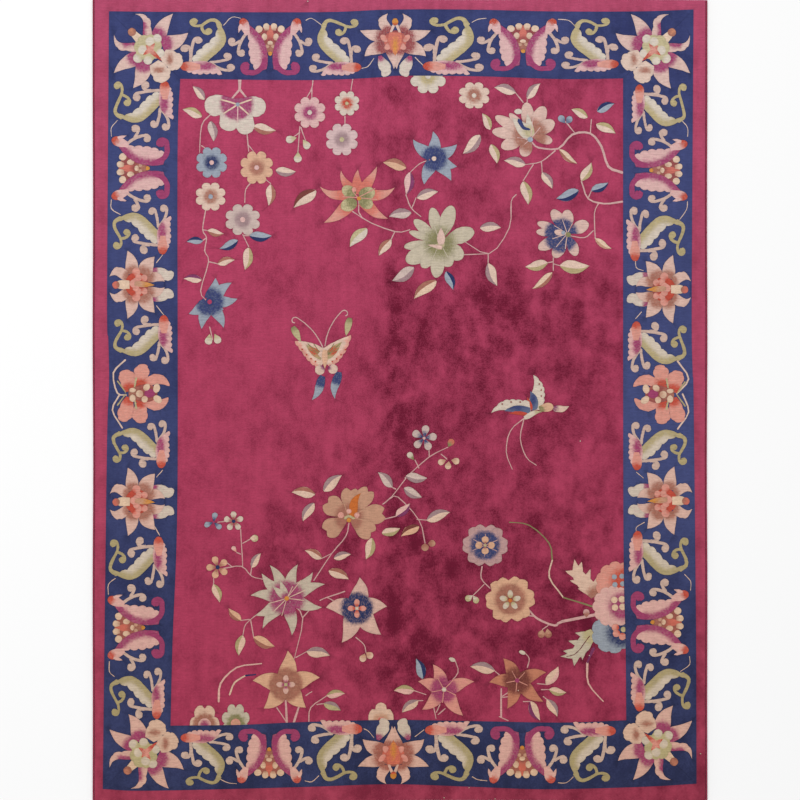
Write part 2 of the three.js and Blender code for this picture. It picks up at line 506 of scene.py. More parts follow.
def corner_unit(place):
    """The corner flower: blush pointed petals with magenta feet towards the outside, two cream frilled
    petals towards the field. The drawing is its own mirror about the diagonal."""
    foot = ((6, -12), 8, 14)
    for half in (place, Placement(place.origin, place.axes[1], place.axes[0])):
        lay_petal(half, (6, -10), (23, -36), 15, "blush", "magenta", foot, hook=-0.06, foot=0.3)
        lay_petal(half, (12, -4), (38, -17), 17, "blush", "magenta", ((11, -6), 9, 14), hook=0.08, foot=0.3)
        lay_petal(half, (-2, -12), (-15, -36), 9, "blush", "magenta", None, None, ("right", 0.6, 2.4, 5),
            hook=0.24, foot=0.3, bumps=(3, 0))
        lay_petal(half, (13, 4), (31, 16), 17, "cream", "brown", in_oval((20, 9), 3, 6, 0.55), blunt=True,
            foot=0.6, bumps=(3, 3), depth=1.3)
    stroke(place, [(-8, -8), (-17, -17)], 10, 6.4, "ivory")
    disc(place, (-18, -18), 4.2, "brown", "russet", ((-19, -19), 1, 4))
    ring = new_element()
    place.lay(frilled((-2, -2), 14, 7, 0.12, turn=0.6), "leaf", element=ring)
    for spot, size in (((7, -11), 4.8), ((-12, 8), 5), ((10, 3), 4.4), ((-7, 0), 5), ((0, -8), 5),
            ((-2, 10), 4.6)):
        disc(place, spot, size, "white", "leaf", (np.multiply(spot, 1.1), 5.4, 3.4), ring)
    for tip in ((12, 11), (-7, 5), (5, -7), (-4, -5)):
        lay_petal(place, (0, 0), tip, 5, "vermilion", "coral", ((1, 0), 1, 9), ring, foot=0.4)


UP, DOWN, LEFT, RIGHT = (0, -1), (0, 1), (-1, 0), (1, 0)


def unit_at(draw, column, row, along, out, along_scale=1.0, out_scale=1.0, *shape):
    """Draws a border unit with its origin at a knot of the chart. Places in its shape are given in knots
    as they lie, before the stretch."""
    scale = np.array([along_scale, out_scale])
    draw(Placement((column, row), np.array(along) * along_scale, np.array(out) * out_scale),
        *(tuple(np.array(spot) / scale) for spot in shape))


# ---------------------------------------------------------------- flowers and leaves of the field

TOWARD = {"top": UP, "bottom": DOWN, "left": LEFT, "right": RIGHT}


def two_toned(base, tip, light, dark, dark_side, width=0.46, hook=0.06):
    """A leaf bowed towards its dark side, in two yarns that meet a fifth of the way from its middle line
    to that side."""
    run = np.subtract(tip, base)
    sign = 1.0 if np.dot((run[1], -run[0]), TOWARD[dark_side]) > 0 else -1.0
    outline, middle = petal(base, tip, width * float(np.hypot(*run)), -hook * sign, foot=0.02)
    count, leaf = len(middle), new_element()
    edge = outline[count:][::-1] if sign > 0 else outline[: count - 1]
    seam = np.vstack([middle[: count - 1] * 0.8 + edge * 0.2, middle[-1:]])
    CHART.lay(outline, light, element=leaf)
    CHART.lay(np.vstack([edge, seam[::-1]]), dark, element=leaf)


def blossom(centre, radius, petals, outer, inner, eye, squash=1.0):
    """A round flower of one frilled piece, shaded inside about half its radius, with an eye."""
    outline = frilled(centre, radius, petals, 0.25, squash, math.pi / petals, 8)
    CHART.lay(outline, outer, inner, (centre, radius * 0.31, radius * 0.6))
    disc(CHART, centre, radius * 0.15, eye, count=9)


def drop(centre, stem_end, radius, yarn, inner):
    """A bud: a circle drawn out to a point at its stem, shaded there."""
    centre, point = np.array(centre, float), np.array(stem_end, float)
    angle = math.atan2(*(point - centre)[::-1])
    t = angle + np.radians(np.linspace(55, 305, 9))
    outline = np.vstack([point, centre + radius * np.column_stack([np.cos(t), np.sin(t)])])
    CHART.lay(outline, yarn, inner, (point, radius * 0.9, radius * 2.1))


def notched(centre, tip, width, outer, inner, near, far, notch=0.1):
    """A petal with a heart-shaped end, shaded by its distance from the centre."""
    foot, run = np.array(centre, float), np.subtract(tip, centre)
    side = np.array([-run[1], run[0]]) / np.hypot(*run) * width
    half = [(0.12, 0.12), (0.42, 0.34), (0.68, 0.5), (0.88, 0.44), (1.0, 0.24), (1.0 - notch, 0.02)]
    both = half + [(s, -w) for s, w in half[::-1]]
    outline = smooth([foot + run * s + side * w for s, w in both], True, 2)
    CHART.lay(outline, outer, inner, (centre, near, far))


def pointed(centre, tip, width, outer, inner, near, far, hook=0.0):
    """A petal with a pointed end, shaded by its distance from the centre."""
    foot = np.array(centre, float) + 0.12 * np.subtract(tip, centre)
    outline, _ = petal(foot, tip, width, hook, foot=0.28)
    CHART.lay(outline, outer, inner, (centre, near, far))


def lines(paths, width, yarn, element=None):
    """Stems: ribbons one or two knots wide, a fifth thinner at the tip."""
    element = new_element() if element is None else element
    for path in paths:
        stroke(CHART, path, width, width * 0.8, yarn, element=element, steps=3, carve_and_shade=0.5)


# Leaves: base, tip, light yarn, dark yarn, side of the dark yarn
LEAVES = [
    ((205, 100), (193, 87), "cream", "grey", "right"),
    ((202, 117), (183, 110), "cream", "olive", "top"),
    ((211, 122), (214, 142), "silver", "grey", "right"),
    ((254, 127), (276, 131), "cream", "brown", "bottom"),
    ((276, 171), (296, 172), "cream", "grey", "bottom"),
    ((271, 185), (269, 206), "cream", "brown", "right"),
    ((316, 191), (294, 208), "cream", "dark_brown", "top"),
    ((367, 229), (350, 247), "white", "leaf", "left"),
    ((208, 231), (224, 234), "cream", "brown", "bottom"),
    ((203, 241), (187, 242), "blue", "midnight", "top"),
    ((238, 241), (220, 249), "blue", "midnight", "bottom"),
    ((250, 236), (272, 236), "blue", "midnight", "bottom"),
    ((249, 248), (245, 270), "cream", "olive", "right"),
    ((218, 264), (235, 260), "cream", "brown", "top"),
    ((202, 280), (184, 279), "cream", "purple", "top"),
    ((406, 168), (383, 163), "peach", "brown", "top"),
    ((410, 173), (406, 195), "pink", "purple", "right"),
    ((417, 198), (438, 192), "cream", "grey", "top"),
    ((411, 213), (389, 217), "silver", "grey", "top"),
    ((515, 93), (494, 88), "cream", "grey", "top"),
    ((527, 99), (540, 84), "cream", "grey", "left"),
    ((490, 130), (482, 114), "cream", "olive", "right"),
    ((480, 136), (463, 154), "cream", "grey", "right"),
    ((491, 145), (497, 164), "cream", "olive", "right"),
    ((525, 165), (504, 161), "cream", "grey", "top"),
    ((559, 150), (577, 164), "ivory", "brown", "bottom", 0.3),
    ((523, 182), (528, 205), "cream", "olive", "right"),
    ((542, 173), (552, 189), "cream", "grey", "right"),
    ((581, 181), (591, 163), "cream", "olive", "right"),
    ((578, 191), (556, 199), "blue", "midnight", "bottom"),
    ((591, 191), (608, 183), "blue", "midnight", "bottom"),
    ((587, 118), (571, 110), "cream", "olive", "top"),
    ((597, 112), (614, 104), "blue", "midnight", "top"),
    ((596, 125), (615, 134), "cream", "olive", "top"),
    ((391, 240), (379, 256), "cream", "brown", "left"),
    ((414, 268), (392, 281), "silver", "grey", "bottom"),
    ((436, 281), (414, 299), "ivory", "brown", "left", 0.4),
    ((446, 272), (453, 290), "blue", "midnight", "right"),
    ((480, 228), (501, 228), "cream", "grey", "top"),
    ((488, 264), (497, 286), "cream", "grey", "left"),
    ((595, 239), (611, 249), "ivory", "tan", "bottom", 0.34),
    ((547, 263), (525, 267), "cream", "olive", "bottom"),
    ((560, 266), (589, 266), "cream", "olive", "bottom"),
    ((552, 273), (532, 289), "ivory", "brown", "right", 0.32),
    ((324, 491), (342, 475), "cream", "grey", "left"),
    ((315, 494), (292, 492), "cream", "brown", "top"),
    ((314, 503), (303, 521), "cream", "grey", "left"),
    ((322, 558), (305, 550), "cream", "brown", "top"),
    ((334, 558), (351, 554), "cream", "grey", "top"),
    ((329, 570), (349, 579), "cream", "brown", "top"),
    ((392, 487), (378, 472), "silver", "grey", "right"),
    ((406, 476), (427, 478), "silver", "grey", "bottom"),
    ((404, 488), (422, 497), "silver", "grey", "bottom"),
    ((396, 516), (410, 503), "pink", "purple", "bottom"),
    ((427, 520), (450, 512), "cream", "grey", "top"),
    ((419, 526), (401, 536), "peach", "dark_brown", "top"),
    ((382, 533), (400, 528), "cream", "olive", "bottom"),
    ((372, 538), (366, 559), "cream", "olive", "right"),
    ((252, 567), (261, 553), "cream", "grey", "left"),
    ((214, 584), (220, 602), "cream", "olive", "right"),
    ((241, 620), (229, 608), "peach", "brown", "bottom"),
    ((243, 635), (239, 655), "cream", "olive", "left"),
    ((254, 637), (275, 646), "peach", "brown", "bottom"),
    ((307, 651), (330, 655), "cream", "grey", "top"),
    ((327, 695), (345, 693), "pink", "olive", "top"),
    ((324, 703), (341, 710), "leaf", "grey", "top"),
    ((423, 678), (416, 658), "blue", "midnight", "right"),
    ((414, 690), (394, 690), "pink", "olive", "top"),
    ((418, 700), (402, 712), "cream", "grey", "left"),
    ((494, 670), (470, 666), "cream", "grey", "top"),
    ((546, 684), (558, 666), "cream", "pink", "right"),
    ((549, 689), (566, 692), "cream", "olive", "bottom"),
    ((547, 699), (557, 716), "cream", "grey", "right"),
    ((530, 701), (540, 720), "cream", "purple", "left"),
    ((594, 650), (589, 656), "raspberry", "purple", "left"),
]

# Stems, each from its foot through the places where others leave it to its tip
STEMS = [
    [(211, 115), (202, 126), (200, 153)], [(202, 146), (206, 149)], [(247, 132), (249, 152)],
    [(249, 146), (254, 152)], [(265, 179), (271, 184)], [(252, 182), (246, 190), (245, 203)],
    [(313, 81), (312, 89), (307, 98)], [(312, 89), (312, 99)], [(300, 127), (298, 153)],
    [(300, 133), (293, 138)], [(301, 128), (306, 142)],
    [(206, 210), (203, 230), (207, 238), (205, 251), (209, 262), (201, 291), (207, 301)],
    [(203, 230), (208, 231)], [(207, 238), (203, 241)], [(209, 262), (218, 264)],
    [(243, 235), (249, 247)], [(244, 236), (250, 236)], [(210, 327), (213, 340)],
    [(353, 79), (351, 91)], [(345, 117), (345, 125)], [(359, 200), (362, 218), (395, 232), (410, 230)],
    [(350, 210), (362, 218)], [(395, 232), (391, 240)], [(432, 160), (420, 164), (407, 176)],
    [(406, 195), (411, 208), (421, 217)], [(412, 208), (416, 198)], [(523, 103), (515, 93)],
    [(527, 103), (527, 99)], [(565, 122), (574, 133)], [(591, 120), (590, 134)],
    [(555, 151), (541, 162), (525, 165)], [(533, 165), (523, 181)], [(541, 162), (542, 173)],
    [(516, 195), (511, 202), (509, 228), (489, 254), (460, 239)], [(462, 255), (489, 254)],
    [(488, 254), (488, 264)], [(588, 198), (591, 191)], [(598, 204), (594, 214), (595, 239)],
    [(593, 231), (584, 238), (570, 236)], [(553, 258), (553, 271)], [(553, 262), (547, 263)],
    [(553, 264), (560, 266)], [(349, 523), (346, 536), (332, 553), (314, 580)],
    [(332, 553), (322, 558)], [(383, 504), (392, 496), (406, 478)],
    [(389, 499), (398, 497), (419, 520), (425, 543)], [(392, 487), (396, 489)],
    [(417, 519), (427, 520)], [(384, 519), (396, 516)], [(429, 449), (429, 456)],
    [(405, 478), (429, 457), (448, 447)], [(441, 454), (447, 459)], [(415, 460), (419, 468)],
    [(226, 521), (218, 522)], [(241, 529), (243, 567)], [(243, 543), (252, 538)],
    [(237, 552), (241, 554)], [(228, 563), (232, 566)],
    [(224, 568), (242, 566), (252, 576), (264, 579)], [(251, 574), (252, 567)],
    [(214, 578), (214, 584)], [(241, 620), (250, 619)], [(256, 615), (246, 624), (243, 635)],
    [(251, 620), (254, 637)], [(290, 601), (303, 618), (294, 660)], [(303, 617), (312, 607)],
    [(296, 657), (307, 651)], [(356, 637), (364, 644), (366, 652)],
    [(345, 591), (327, 597), (320, 600)], [(327, 597), (337, 602)], [(277, 707), (287, 722)],
    [(306, 695), (312, 691)], [(309, 721), (311, 707), (327, 695)], [(317, 704), (324, 703)],
    [(482, 566), (481, 578), (490, 588)], [(484, 584), (473, 595)], [(542, 629), (548, 625)],
    [(414, 690), (426, 694)], [(418, 700), (423, 700)], [(448, 684), (458, 672), (455, 660)],
    [(433, 704), (436, 718)], [(440, 704), (436, 712)], [(445, 708), (438, 714)],
    [(494, 670), (501, 676)], [(537, 683), (546, 684)], [(541, 689), (549, 689)],
    [(523, 701), (530, 701)], [(543, 696), (547, 699)], [(527, 667), (529, 658), (524, 652)],
    [(509, 691), (502, 696)], [(509, 696), (502, 697)], [(499, 716), (508, 720)],
]

# Thicker stems: path, width at the foot, width at the tip, yarn
BRANCHES = [
    ([(240, 80), (240, 90)], 3.4, 2.4, "stem"),
    ([(240, 90), (230, 102)], 2.4, 1.6, "stem"),
    ([(240, 90), (248, 100)], 2.4, 1.6, "stem"),
    ([(532, 143), (538, 148), (558, 149), (572, 135), (590, 134), (601, 147), (608, 167), (622, 173)],
     1.6, 2.6, "stem"),
    ([(581, 182), (588, 199), (604, 204), (622, 202)], 1.4, 1.8, "stem"),
    ([(286, 700), (287, 722)], 1.8, 2.2, "stem"),
    ([(299, 706), (294, 722)], 1.8, 2.2, "stem"),
    ([(219, 701), (221, 683), (237, 667), (262, 663)], 2.2, 1.0, "pink"),
    ([(230, 694), (235, 682), (246, 675)], 2.0, 1.6, "cream"),
    ([(246, 675), (256, 674)], 1.8, 1.0, "midnight"),
    ([(509, 522), (529, 525), (549, 543), (552, 560)], 0.9, 1.5, "sage"),
    ([(552, 560), (549, 577), (563, 597)], 1.5, 1.4, "cream"),
    ([(563, 597), (595, 607)], 1.4, 1.8, "sage"),
    ([(528, 609), (537, 618), (554, 625), (562, 621), (597, 614)], 1.6, 3.0, "stem"),
    ([(528, 615), (535, 616)], 1.2, 1.6, "stem"),
    ([(587, 662), (588, 683), (603, 701)], 2.2, 1.0, "pink"),
    ([(501, 688), (501, 716)], 1.6, 2.0, "stem"),
]

# Round flowers: centre, radius, petals, outer yarn, inner yarn, eye, and the squash where not 1
BLOSSOMS = [
    ((212, 163), 16, 8, "blue", "midnight", "pink"),
    ((211, 197), 15.6, 8, "cream", "brown", "blue", 0.94),
    ((257, 168), 17, 8, "peach", "brown", "pink"),
    ((243, 220), 18, 8, "silver", "grey", "pink", 0.9),
    ((310, 113), 16.2, 8, "pink", "magenta", "white"),
    ((347, 104), 12.8, 8, "white", "vermilion", "leaf"),
    ((342, 140), 16.6, 8, "lilac", "grey", "leaf"),
    ((428, 77), 18.6, 8, "white", "olive", "white", 0.96),
    ((474, 96), 16, 8, "cream", "brown", "white", 0.86),
]

# Buds: place, where the stem meets it, radius, yarn, yarn at the stem
BUDS = [
    ((290, 140), (297, 138), 3.9, "white", "leaf"),
    ((307, 146), (303, 140), 3.8, "white", "leaf"),
    ((298, 159), (298, 152), 4.0, "white", "leaf"),
    ((209, 341), (210, 334), 3.8, "white", "leaf"),
    ((218, 340), (215, 334), 3.8, "white", "leaf"),
    ((561, 119), (565, 124), 3.4, "blue", "slate"),
    ((569, 120), (566, 124), 3.4, "blue", "slate"),
    ((410, 455), (414, 460), 3.2, "white", "sage"),
    ((451, 442), (448, 447), 3.4, "salmon", "sage"),
    ((441, 462), (446, 460), 3.2, "ivory", "tan"),
    ((448, 466), (449, 461), 3.2, "ivory", "tan"),
    ((456, 461), (451, 460), 3.4, "ivory", "tan"),
    ((425, 547), (425, 543), 3.8, "tan", "brown"),
    ((432, 543), (428, 543), 3.4, "tan", "brown"),
    ((255, 538), (250, 538), 3.6, "leaf", "cream"),
    ((234, 548), (237, 552), 2.4, "pink", "coral"),
    ((363, 658), (365, 653), 3.6, "cream", "tan"),
    ((370, 655), (366, 652), 3.6, "cream", "tan"),
    ((468, 598), (473, 595), 3.2, "leaf", "white"),
    ((476, 600), (473, 595), 3.2, "leaf", "white"),
    ((541, 634), (542, 629), 3.6, "brown", "tan"),
    ((548, 634), (547, 628), 3.6, "brown", "tan"),
    ((586, 612), (586, 617), 3.4, "stem", "brown"),
]

# Star flowers: centre, outer yarn, inner yarn, shade near, shade far, petal width, eye, tips
STARS = [
    ((210, 302), "blue", "navy", 11, 17, 12.6, "raspberry",
     [(216, 278), (232, 283), (224, 310), (224, 328), (202, 329), (189, 314), (238, 299)]),
    ((434, 159), "blue", "navy", 10, 15.5, 13, "cream",
     [(433, 132), (413, 140), (457, 145), (447, 155), (457, 167), (451, 181), (424, 185)]),
    ((287, 598), "pewter", "magenta", 14, 21, 13, "gold",
     [(270, 565), (298, 564), (313, 572), (325, 584), (322, 607), (292, 635), (263, 628),
      (255, 615), (251, 595), (262, 573)]),
    ((357, 608), "blush", "midnight", 14, 18, 19, "white",
     [(360, 577), (387, 606), (381, 634), (342, 642), (326, 607)]),
    ((286, 684), "peach", "brown", 15, 19, 18.6, "leaf",
     [(288, 650), (320, 677), (306, 707), (264, 708), (253, 680)]),
    ((444, 689), "coral", "magenta", 10, 17, 14, "white",
     [(433, 664), (474, 681), (463, 715), (422, 709), (418, 681)]),
    ((517, 680), "russet", "dark_brown", 10, 18, 14, "magenta",
     [(503, 658), (546, 672), (543, 701), (507, 708), (489, 682)]),
]


def hanging_pansy():
    """The white pansy that hangs from the far border, a magenta fan in its throat and gold lines from its
    blue eye."""
    eye, flower = (238, 105), new_element()
    fan = ((237, 104), 14.5, 18.5)
    for tip, width, bumps in (((205, 106), 20, (2, 3)), ((266, 108), 19, (3, 2)), ((226, 131), 19, (2, 2)),
            ((249, 134), 19, (2, 2))):
        lay_petal(CHART, (236 + 0.1 * (tip[0] - 237), 106), tip, width, "white", "magenta", fan, flower,
            blunt=True, foot=0.7, bumps=bumps)
    lay_petal(CHART, (237, 99), (238, 128), 30, "white", "magenta", fan, flower, foot=0.5)
    rays(eye, [(221, 100), (252, 100), (224, 114), (249, 115)], 1.7, "ivory")
    rays(eye, [(238, 123)], 1.1, "pink")
    disc(CHART, eye, 2.1, "blue")


def salmon_lily():
    """The salmon lily with seven petals and a green heart in four lobes."""
    heart = (358, 198)
    for tip, width, hook in (((320, 187), 11, -0.12), ((341, 171), 10, -0.10), ((358, 170), 11, -0.04),
            ((377, 167), 11, 0.04), ((395, 188), 12, 0.10), ((388, 219), 12, 0.08),
            ((324, 223), 14, -0.06)):
        pointed(heart, tip, width, "coral", "salmon", 16, 30, hook)
    for spot, size, tilt in (((349, 192), 7.6, 0.6), ((367, 194), 8.4, -0.3), ((349, 205), 8.4, -0.4),
            ((366, 203), 7.6, 0.6)):
        disc(CHART, spot, size, "sage", "leaf", (heart, 16, 9), squash=0.78, tilt=tilt)
    rays(heart, [(343, 197), (353, 192), (375, 189), (377, 200)], 1.1, "coral")
    disc(CHART, (354, 190), 2.4, "coral")
    disc(CHART, (359, 199), 2.2, "gold")


def bloom(foot, petals, outer, inner, near, far, light=None):
    """Blunt petals (tip, width) from one foot, shaded by their distance from a centre."""
    for tip, width in petals:
        lay_petal(CHART, foot, tip, width, outer, inner, (light or foot, near, far), blunt=True)


def rays(centre, tips, width, yarn):
    """Thin lines from a centre to each tip."""
    lines([[centre, tip] for tip in tips], width, yarn)


def upper_peonies():
    """The three open flowers of the upper right, and the tan one with a flame at its heart."""
    foot = (530, 136)
    bloom(foot, [((526, 103), 13), ((544, 107), 14), ((554, 122), 14), ((552, 142), 10), ((523, 157), 13),
        ((501, 148), 13), ((492, 132), 12), ((495, 117), 11), ((509, 114), 8)], "blush", "brown", 13, 21)
    disc(CHART, (518, 112), 4, "white", squash=0.7)
    lay_petal(CHART, (530, 137), (512, 118), 13, "white", "leaf", ((529, 132), 3, 9), foot=0.2)
    lay_petal(CHART, (531, 137), (527, 114), 8, "white", "leaf", ((529, 132), 3, 9), foot=0.2)
    stroke(CHART, [(519, 121), (523, 128), (529, 130)], 4.2, 2.4, "navy")
    rays((530, 140), [(517, 138), (540, 128), (533, 118), (524, 145)], 0.8, "pink")
    disc(CHART, (530, 140), 2.8, "blue")
    foot = (440, 243)
    bloom(foot, [((432, 208), 12), ((452, 206), 15), ((474, 231), 16), ((463, 258), 16), ((450, 267), 15),
        ((414, 220), 11), ((424, 228), 8.4), ((409, 232), 7.4), ((404, 247), 9.4), ((406, 262), 17),
        ((422, 268), 13), ((436, 278), 14)], "pewter", "sage", 8, 22)
    rays(foot, [(432, 220), (450, 226), (424, 250), (431, 262), (448, 258)], 0.8, "pewter")
    disc(CHART, (440, 246), 5, "plum", "leaf", ((446, 252), 4, 1), squash=0.7, tilt=-0.5)
    lay_petal(CHART, (441, 245), (441, 228), 8, "blush")
    lay_petal(CHART, (442, 248), (427, 245), 4, "blush", foot=0.3)
    foot = (567, 234)
    bloom(foot, [((552, 210), 12), ((567, 210), 12.6), ((588, 223), 13), ((537, 223), 8.6),
        ((536, 232), 9), ((538, 249), 12), ((554, 258), 13), ((576, 256), 11)], "blush", "navy", 15, 19,
        (561, 236))
    bloom((566, 234), [((554, 232), 6)], "blush", "pink", 2, 8)
    rays(foot, [(554, 226), (562, 220), (572, 224), (552, 239), (556, 247), (565, 249)], 0.9, "blush")
    disc(CHART, (563, 233), 2.2, "blue")
    disc(CHART, (568, 235), 2.7, "sage")
    foot = (349, 517)
    for tip, width in (((351, 488), 19), ((370, 489), 18), ((385, 513), 20), ((373, 534), 20),
            ((325, 532), 20), ((326, 501), 21)):
        notched(foot, tip, width, "tan", "brown", 11, 17, 0.08)
    rays(foot, [(344, 503), (373, 505), (372, 521), (339, 516)], 0.9, "tan")
    lay_petal(CHART, (352, 516), (361, 493), 9, "orange", hook=-0.12)
    for spot, radius in (((349, 511), 2.6), ((341, 515), 3.2), ((357, 515), 2.9)):
        disc(CHART, spot, radius, "coral", "pink", (spot, 0.6, 2.6))
    stroke(CHART, [(345, 518), (349, 516), (354, 518)], 2.4, 2.4, "leaf")
    disc(CHART, (349, 520), 2.4, "gold")


def star_flowers():
    """The pointed lilies: petals from a common centre, each bowed a little, and an eye."""
    for centre, outer, inner, near, far, width, eye, tips in STARS:
        for k, tip in enumerate(tips):
            pointed(centre, tip, width, outer, inner, near, far, 0.07 * (-1) ** k)
        disc(CHART, centre, 4.4, inner)
        disc(CHART, centre, 2.4, eye)


def round_spots(centre, reach, count, turn, squash=1.0):
    """Places set evenly round a centre: centre + reach (cos t, squash sin t)."""
    t = turn + 2 * np.pi * np.arange(count) / count
    return [(centre[0] + reach * math.cos(a), centre[1] + reach * squash * math.sin(a)) for a in t]


def lily_details():
    """Veins, inner petals and dots of the lilies."""
    heart = (287, 598)
    for tip in ((280, 580), (273, 586)):
        pointed(heart, tip, 7, "pewter", "magenta", 3, 9)
    rays(heart, [(301, 580), (305, 590), (304, 600), (282, 615), (274, 611), (269, 603), (293, 586)], 0.9,
        "cream")
    disc(CHART, heart, 2.4, "gold")
    for centre, outer, inner, dot in (((357, 608), "coral", "vermilion", "white"),
            ((286, 684), "blush", "magenta", "leaf")):
        bloom(centre, [(tip, 5.5) for tip in round_spots(centre, 9.4, 4, 0)], outer, inner, 2.4, 6)
        disc(CHART, centre, 1.7, dot)
    for centre, reach, eye in (((444, 689), 13, "white"), ((517, 680), 11, "magenta")):
        rays(centre, round_spots(centre, reach, 5, 0.44), 0.9, "coral")
        disc(CHART, centre, 2.3, eye)


def notched_pair():
    """Two flowers of six heart-ended petals: dusky with a navy ring, peach with a brown one."""
    for centre, half, outer, inner, near, far, turn in (((485, 545), 22.6, "dusk", "navy", 13, 16, 0.55),
            ((510, 599), 24.5, "peach", "brown", 13, 18, 0.45)):
        for tip in round_spots(centre, half, 6, turn, 0.92):
            notched(centre, tip, half * 0.98, outer, inner, near, far, 0.14)
    centre = (485, 545)
    rays(centre, round_spots(centre, 14, 6, 0.56, 0.8), 0.9, "dusk")
    for spot in round_spots(centre, 6.2, 4, 0, 0.9):
        disc(CHART, spot, 3.6, "peach", "brown", (centre, 2.4, 5))
    disc(CHART, centre, 1.6, "leaf")
    centre = (510, 600)
    for spot in round_spots(centre, 7, 5, -math.pi / 2, 0.9):
        angle = math.atan2(spot[1] - centre[1], spot[0] - centre[0])
        disc(CHART, spot, 4, "white", "leaf", (centre, 4, 7), squash=0.7, tilt=angle)
    disc(CHART, centre, 2.2, "orange")


def little_flowers():
    """Small flowers of drop-shaped petals, set evenly round an eye."""
    for centre, reach, count, turn, radius, yarn, inner, eye, eye_radius in (
        ((214, 522), 7, 3, -1.4, 2.9, "blue", "navy", "magenta", 1.2),
        ((234, 521), 7, 5, -1.6, 3.0, "white", "rust", "midnight", 1.9),
        ((218, 567), 8, 5, -1.9, 3.4, "peach", "brown", "midnight", 2.2),
        ((424, 438), 9, 5, -1.4, 3.9, "silver", "navy", "pink", 1.5),
    ):
        for spot in round_spots(centre, reach, count, turn):
            drop(spot, centre, radius, yarn, inner)
        disc(CHART, centre, eye_radius, eye, count=9)


def cut_flowers():
    """Half flowers that the near border cuts: centre, half width, lobes, degrees to one lobe, then the
    ring's radius and the core's."""
    for centre, half, lobes, turn, ring, core, yarns in (
        ((205, 724), 14.8, 6, -60, 11.6, 6.4, ("cream", "brown", "pink", "magenta")),
        ((236, 723), 14.6, 8, -67.5, 9.4, 5, ("pewter", "sage", "coral", "tan")),
        ((381, 720), 13, 5, -90, 7.6, 4, ("cream", "tan", "coral", "vermilion")),
    ):
        outline = frilled(centre, half, lobes, 0.24, squash=1.4, turn=np.radians(turn))
        CHART.lay(outline, yarns[0], yarns[1], (centre, ring - 1, ring + 1))
        disc(CHART, centre, core, yarns[2], yarns[3], (centre, core * 0.4, core))


def acanthus(base, tip, width, hook, outer, inner, shade):
    """A toothed leaf: lobes that leave its middle line in pairs, shorter towards the tip, and a lobe at
    the tip."""
    outline, middle = petal(base, tip, width, hook)
    leaf = new_element()
    CHART.lay(outline, outer, inner, shade, leaf)
    run = middle[-1] - middle[0]
    out = np.array([-run[1], run[0]]) / np.hypot(*run)
    for k, reach in ((1, 0.74), (3, 0.78), (5, 0.62)):
        for side in (-1, 1):
            end = middle[k] + run * 0.24 + out * side * width * reach
            lay_petal(CHART, middle[k], end, 8, outer, inner, shade, leaf, foot=0.4)
    return middle


def peony_cluster():
    """Three round peonies behind the right border, and two acanthus leaves on the branch."""
    acanthus((595, 596), (574, 559), 15, -0.10, "cream", "brown", ((595, 595), 4, 14))
    vein = acanthus((593, 632), (560, 656), 15, -0.16, "pewter", "leaf", ((594, 633), 8, 16))
    lines([vein[1:-1]], 0.8, "plum")
    for centre, radius, lobes, outer, inner, near, far in (
        ((617, 583), 22, 11, "coral", "vermilion", 10, 18),
        ((612, 632), 21, 9, "blue", "midnight", 9, 16),
        ((613, 606), 21, 12, "pink", "magenta", 9, 14),
    ):
        CHART.lay(frilled(centre, radius, lobes, 0.1), outer, inner,
            ((centre[0] + 9, centre[1]), near, far + 4))
    for centre, size, yarn in (((618, 580), 2.7, "blue"), ((618, 603), 3.4, "ivory")):
        for spot in round_spots(centre, 5.4, 4, 0.7):
            disc(CHART, spot, size, yarn)
    for spot in ((615, 627), (616, 633), (622, 636)):
        disc(CHART, spot, 3.7, "coral", "vermilion", ((622, 628), 4, 8))
    disc(CHART, (623, 629), 2.8, "leaf")
    stroke(CHART, [(593, 648), (587, 662)], 3.2, 1.8, "purple")
    for spot in ((452, 659), (522, 652)):
        disc(CHART, spot, 3.4, "white", squash=0.6, tilt=0.4)


def wing(base, tip, width, hook, frill, outer, rim, depth):
    """A butterfly's wing: a petal frilled along its left or right edge, with a rim in its own yarn."""
    bumps = (6, 0) if frill == "left" else (0, 6)
    lay_petal(CHART, base, tip, width, outer, rim, None, None, (frill, 1, depth, depth + 0.8), hook=hook,
        foot=0.3, bumps=bumps)


